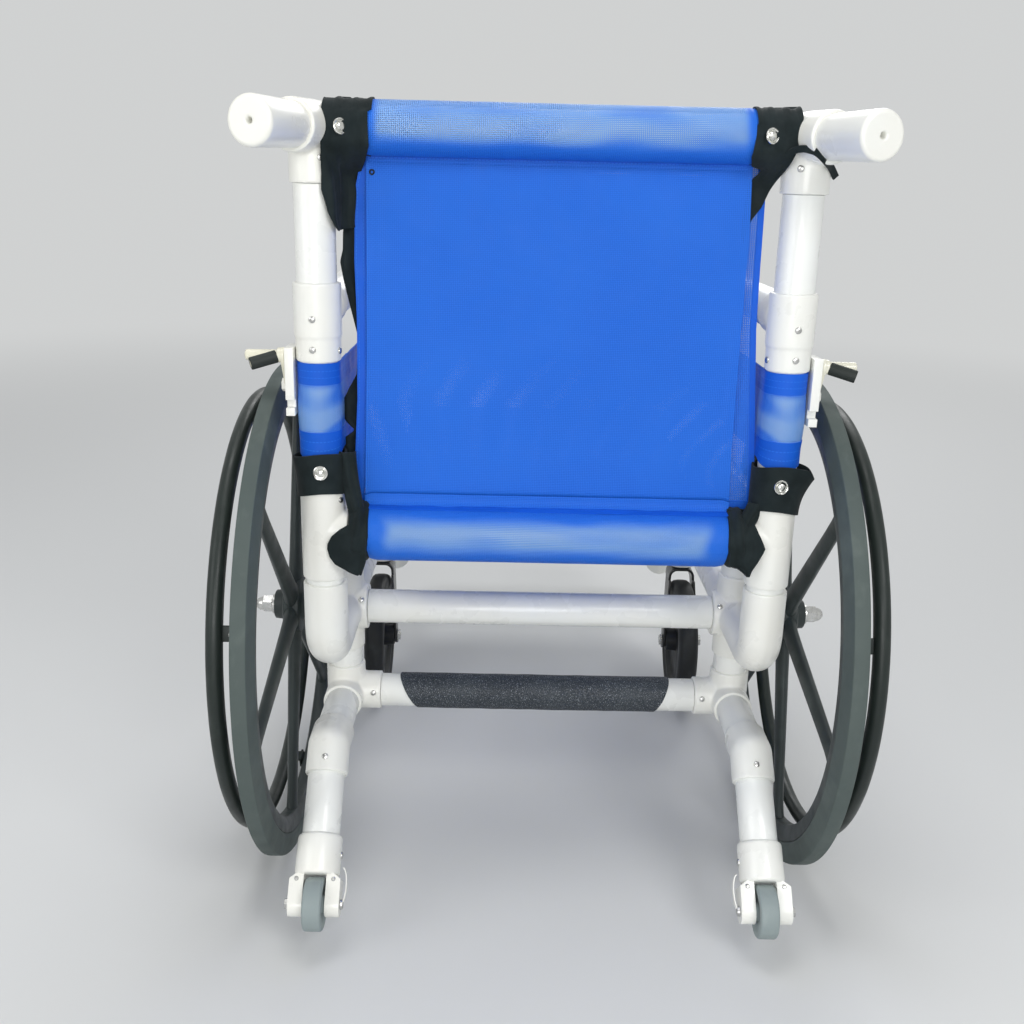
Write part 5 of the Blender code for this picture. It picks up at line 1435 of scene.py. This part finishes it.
arch_r = 0.0120
arch_points = [(0.0195, 0.1960)] + [
    (0.0070 + arch_r * math.cos(turn), 0.2030 + arch_r * math.sin(turn))
    for turn in (math.pi / 20 * i for i in range(11))
]
arch_points += [(-x, z) for x, z in reversed(arch_points)]
arch_length, arch_at = path(arch_points)


def arch_place(across, along):
    x, z = arch_at(along)
    return Vector((side_x + x, stem_y + across, z))


crown = cloth(6, 60, 0.0375, arch_length, arch_place)
walled(crown, 0.0040)
edged(crown, 0.0010, 2)
applied(crown)
crown_washer = turned((side_x, stem_y, 0.2165), Z, [(0.0, 0.0160), (0.0038, 0.0160), (0.0043, 0.0155)], 48)
stem_rod = bar((side_x, stem_y, 0.214), (side_x, stem_y, 0.286), 0.0079, sides=40)
both_sides(
    merged([fork_plate(1), fork_plate(-1), crown, crown_washer, stem_rod]), "pressed_fork_left", fork_paint,
    "caster_swivel_left", "black_fork", "caster_fork_left",
)
caster_bolt = [bar(caster_place - 0.0320 * X, caster_place + 0.0320 * X, 0.0047, sides=32)]
for hand in (1, -1):
    caster_bolt.append(turned(caster_place + hand * 0.0290 * X, hand * X, [
        (0.0, 0.0088), (0.0006, 0.0096), (0.0042, 0.0096), (0.0050, 0.0086),
    ], 6))
both_sides(merged(caster_bolt), "caster_bolt_left", steel, "caster_swivel_left", "steel", angle=30)

# Anti-tip wheels: a white moulded socket with two thick ears on the sloping pipe, a small grey
# wheel on a stainless bolt between them, and a strip looped over the inner end of the bolt.
small_grey = rubber("small_grey_wheel", (0.27, 0.32, 0.32), (0.36, 0.41, 0.41), 0.55)
tip_place = Vector((side_x, axle_y + 0.2720, 0.0625))
tip_half = [
    (0.0116, 0.0034), (0.0116, 0.0082), (0.0106, 0.0094), (0.0088, 0.0104), (0.0086, 0.0180), (0.0101, 0.0206),
    (0.0104, 0.0225), (0.0104, 0.0256), (0.0099, 0.0273), (0.0087, 0.0283), (0.0072, 0.0285), (0.0004, 0.0285),
]
both_sides(
    turned(tip_place, X, mirrored(tip_half), 64, loop=True), "anti_tip_roller_tyre_left", small_grey,
    "anti_tip_roller_left", "grey_wheel", "anti_tip_wheel_left",
)


def ear(hand):
    """A thick ear: a round end on the bolt, its sides straight up into the socket, sloped outside."""
    ear_r, ear_half = 0.0135, 0.015
    bpy.ops.object.select_all(action="DESELECT")
    bpy.ops.mesh.primitive_cylinder_add(vertices=48, radius=ear_r, depth=0.0156, location=(0, 0, 0))
    block = bpy.context.object
    for vertex in block.data.vertices:
        across, up = vertex.co.x, vertex.co.y
        if up > 0.0001:
            share = up / ear_r
            up = 0.0365 - 0.004 * (1 - share) - (0.0115 if vertex.co.z * hand > 0 else 0.0)
            across = across * 1.11 / max(math.sqrt(1 - min(share, 0.999) ** 2), 0.25)
            across = max(min(across, ear_half), -ear_half)
        vertex.co = (vertex.co.z, across, up)
    bpy.ops.object.mode_set(mode="EDIT")
    bpy.ops.mesh.select_all(action="SELECT")
    bpy.ops.mesh.normals_make_consistent(inside=False)
    bpy.ops.object.mode_set(mode="OBJECT")
    edged(block, 0.0028, 4, 60)
    applied(block)
    block.rotation_euler = (math.radians(45), 0, 0)
    block.location = tip_place + hand * 0.0202 * X
    return block


clevis_socket = turned(tip_place, -leg_run, [
    (0.0295, 0.0226), (0.0300, 0.0236), (0.0312, 0.0246), (0.0330, 0.0250), (0.0690, 0.0250), (0.0712, 0.0247),
    (0.0727, 0.0238), (0.0735, 0.0224),
], 64)
fitting_pair("clevis_moulding", merged([clevis_socket, ear(1), ear(-1)]), "anti_tip_clevis_left")
strip_long = 0.058
for side, hand in left_right:
    centre = handed(tip_place, hand)
    nut_side, head_side = centre + hand * 0.0281 * X, centre - hand * 0.0281 * X
    bolt = [
        bar(head_side, nut_side + hand * 0.0050 * X, 0.0029, sides=24),
        turned(nut_side, hand * X, [(0.0, 0.0052), (0.0005, 0.0058), (0.0042, 0.0058), (0.0049, 0.0050)], 6),
        turned(head_side, -hand * X, [(0.0, 0.0050), (0.0004, 0.0057), (0.0028, 0.0052), (0.0034, 0.0030)], 32),
    ]
    bright_piece(merged(bolt), "anti_tip_bolt_" + side)
    for name, offset in (("outer", 0.0203), ("inner", -0.0203)):
        place = centre - 0.0245 * leg_run + Vector((hand * offset, 0, 0)) + 0.0140 * leg_out
        screw(f"ear_screw_{name}_{side}", place, (0, 1, 1), head=0.0027)
    side_screw = centre - 0.052 * leg_run - hand * 0.0250 * X
    screw(f"clevis_screw_{side}", side_screw, (-hand, 0, 0), head=0.0040)

    def strip_place(across, along):
        turn = math.pi * along / strip_long
        base = centre - leg_run * (0.019 - 0.019 * math.cos(turn))
        bow = 0.0286 + 0.0048 * math.sin(turn)
        return base - hand * bow * X + leg_out * across

    sewn(cloth(4, 40, 0.0075, strip_long, strip_place), "clevis_strip_" + side, fitting_plastic, "white_pipe")

# Wheel locks: a white notched mounting block on the back post, a cream-painted lever with a shoe
# bar that reaches over the tyre, and behind it a bar in a black rubber tube as the grip.
def recast(cad_node, name, surface, edge_width, body="frame"):
    """A copy of a CAD piece with whole faces, its edges rounded, in the piece's place."""
    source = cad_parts[cad_node]
    piece = bpy.data.objects.new(name, source.data.copy())
    scene.collection.objects.link(piece)
    piece.matrix_world = source.matrix_world
    bpy.ops.object.select_all(action="DESELECT")
    piece.select_set(True)
    bpy.context.view_layer.objects.active = piece
    bpy.ops.object.mode_set(mode="EDIT")
    bpy.ops.mesh.select_all(action="SELECT")
    bpy.ops.mesh.remove_doubles(threshold=0.00001)
    bpy.ops.mesh.dissolve_limited(angle_limit=math.radians(1))
    bpy.ops.mesh.normals_make_consistent(inside=False)
    bpy.ops.object.mode_set(mode="OBJECT")
    if "sharp_edge" in piece.data.attributes:
        piece.data.attributes.remove(piece.data.attributes["sharp_edge"])
    edged(piece, edge_width)
    placed(piece, name, surface, body, "white_pipe", cad_node)


cream_paint = white_plastic("cream_paint", (0.78, 0.77, 0.66), (0.80, 0.77, 0.60), 0.24, 300.0)
grip_rubber = rubber("black_grip_rubber", (0.014, 0.019, 0.017), (0.050, 0.060, 0.054), 0.55)
for side, hand in left_right:
    recast("lock_plate_" + side, "lock_block_" + side, fitting_plastic, 0.0006)
    body = "wheel_lock_" + side
    lever_x = hand * 0.2839
    pivot, shoe, grip = (
        Vector((lever_x, axle_y + back, z)) for back, z in ((0.120, 0.610), (0.095, 0.6375), (0.147, 0.6465))
    )
    ends = [(pivot, 0.0120), (shoe, 0.0072), (grip, 0.0082)]
    plate = merged([bar(place - 0.0020 * X, place + 0.0020 * X, radius, sides=40) for place, radius in ends])
    bpy.ops.object.transform_apply(location=True, rotation=True, scale=True)
    bpy.ops.object.mode_set(mode="EDIT")
    bpy.ops.mesh.select_all(action="SELECT")
    bpy.ops.mesh.convex_hull()
    bpy.ops.mesh.dissolve_limited(angle_limit=math.radians(1))
    bpy.ops.object.mode_set(mode="OBJECT")
    edged(plate, 0.0008)
    applied(plate)
    bored(plate, pivot - 0.01 * X, pivot + 0.01 * X, 0.0043)
    shoe_bar = turned(shoe - hand * 0.0019 * X, (hand, 0, 0), [
        (0.0, 0.0066), (0.0044, 0.0066), (0.0048, 0.0064), (0.0490, 0.0062), (0.0522, 0.0060), (0.0534, 0.0050),
        (0.0539, 0.0036),
    ], 40)
    grip_boss = turned(grip - hand * 0.0019 * X, (hand, 0, 0), [
        (0.0, 0.0076), (0.0044, 0.0078), (0.0068, 0.0078), (0.0076, 0.0072), (0.0079, 0.0064),
    ], 40)
    grip_run = Vector((hand * 0.0301, 0.012, -0.008))
    grip_root, grip_long = grip + hand * 0.0020 * X, grip_run.length
    grip_core = turned(grip_root, grip_run, [
        (0.0, 0.0044), (grip_long - 0.0007, 0.0044), (grip_long - 0.0003, 0.0041), (grip_long - 0.0003, 0.0032),
        (grip_long - 0.0110, 0.0030),
    ], 40)
    lever = merged([plate, shoe_bar, grip_boss, grip_core])
    placed(lever, "lock_lever_steel_" + side, cream_paint, body, "steel", "lock_lever_" + side)
    sleeve_piece = turned(grip_root, grip_run, [
        (0.0050, 0.0046), (0.0050, 0.0063), (0.0056, 0.0068), (0.0180, 0.0067), (grip_long - 0.0014, 0.0067),
        (grip_long - 0.0003, 0.0065), (grip_long, 0.0061), (grip_long, 0.0050), (grip_long - 0.0006, 0.0046),
    ], 44, loop=True)
    placed(sleeve_piece, "lock_grip_sleeve_" + side, grip_rubber, body, "black_grip")
    bolt_in, nut_foot, dome_foot, bolt_out = (
        Vector((hand * x, pivot.y, pivot.z)) for x in (0.2730, 0.2862, 0.2905, 0.2915)
    )
    bright_piece(merged([
        bar(bolt_in, bolt_out, 0.0039, sides=32),
        turned(nut_foot, (hand, 0, 0), [
            (0.0, 0.0066), (0.0005, 0.0074), (0.0040, 0.0074), (0.0048, 0.0064),
        ], 6),
        turned(dome_foot, (hand, 0, 0), [(0.0, 0.0038), (0.0012, 0.0034), (0.0015, 0.0026)], 24),
    ]), "lock_pivot_" + side)

# Footplate: a white moulded plastic plate with drain slots, held by a pin in each footrest leg,
# on which it flips up.
plate_plastic = white_plastic("moulded_plate", (0.78, 0.80, 0.77), (0.80, 0.80, 0.74), 0.40, 260.0)
recast("footplate", "moulded_footplate", plate_plastic, 0.0016, "footplate_flap")
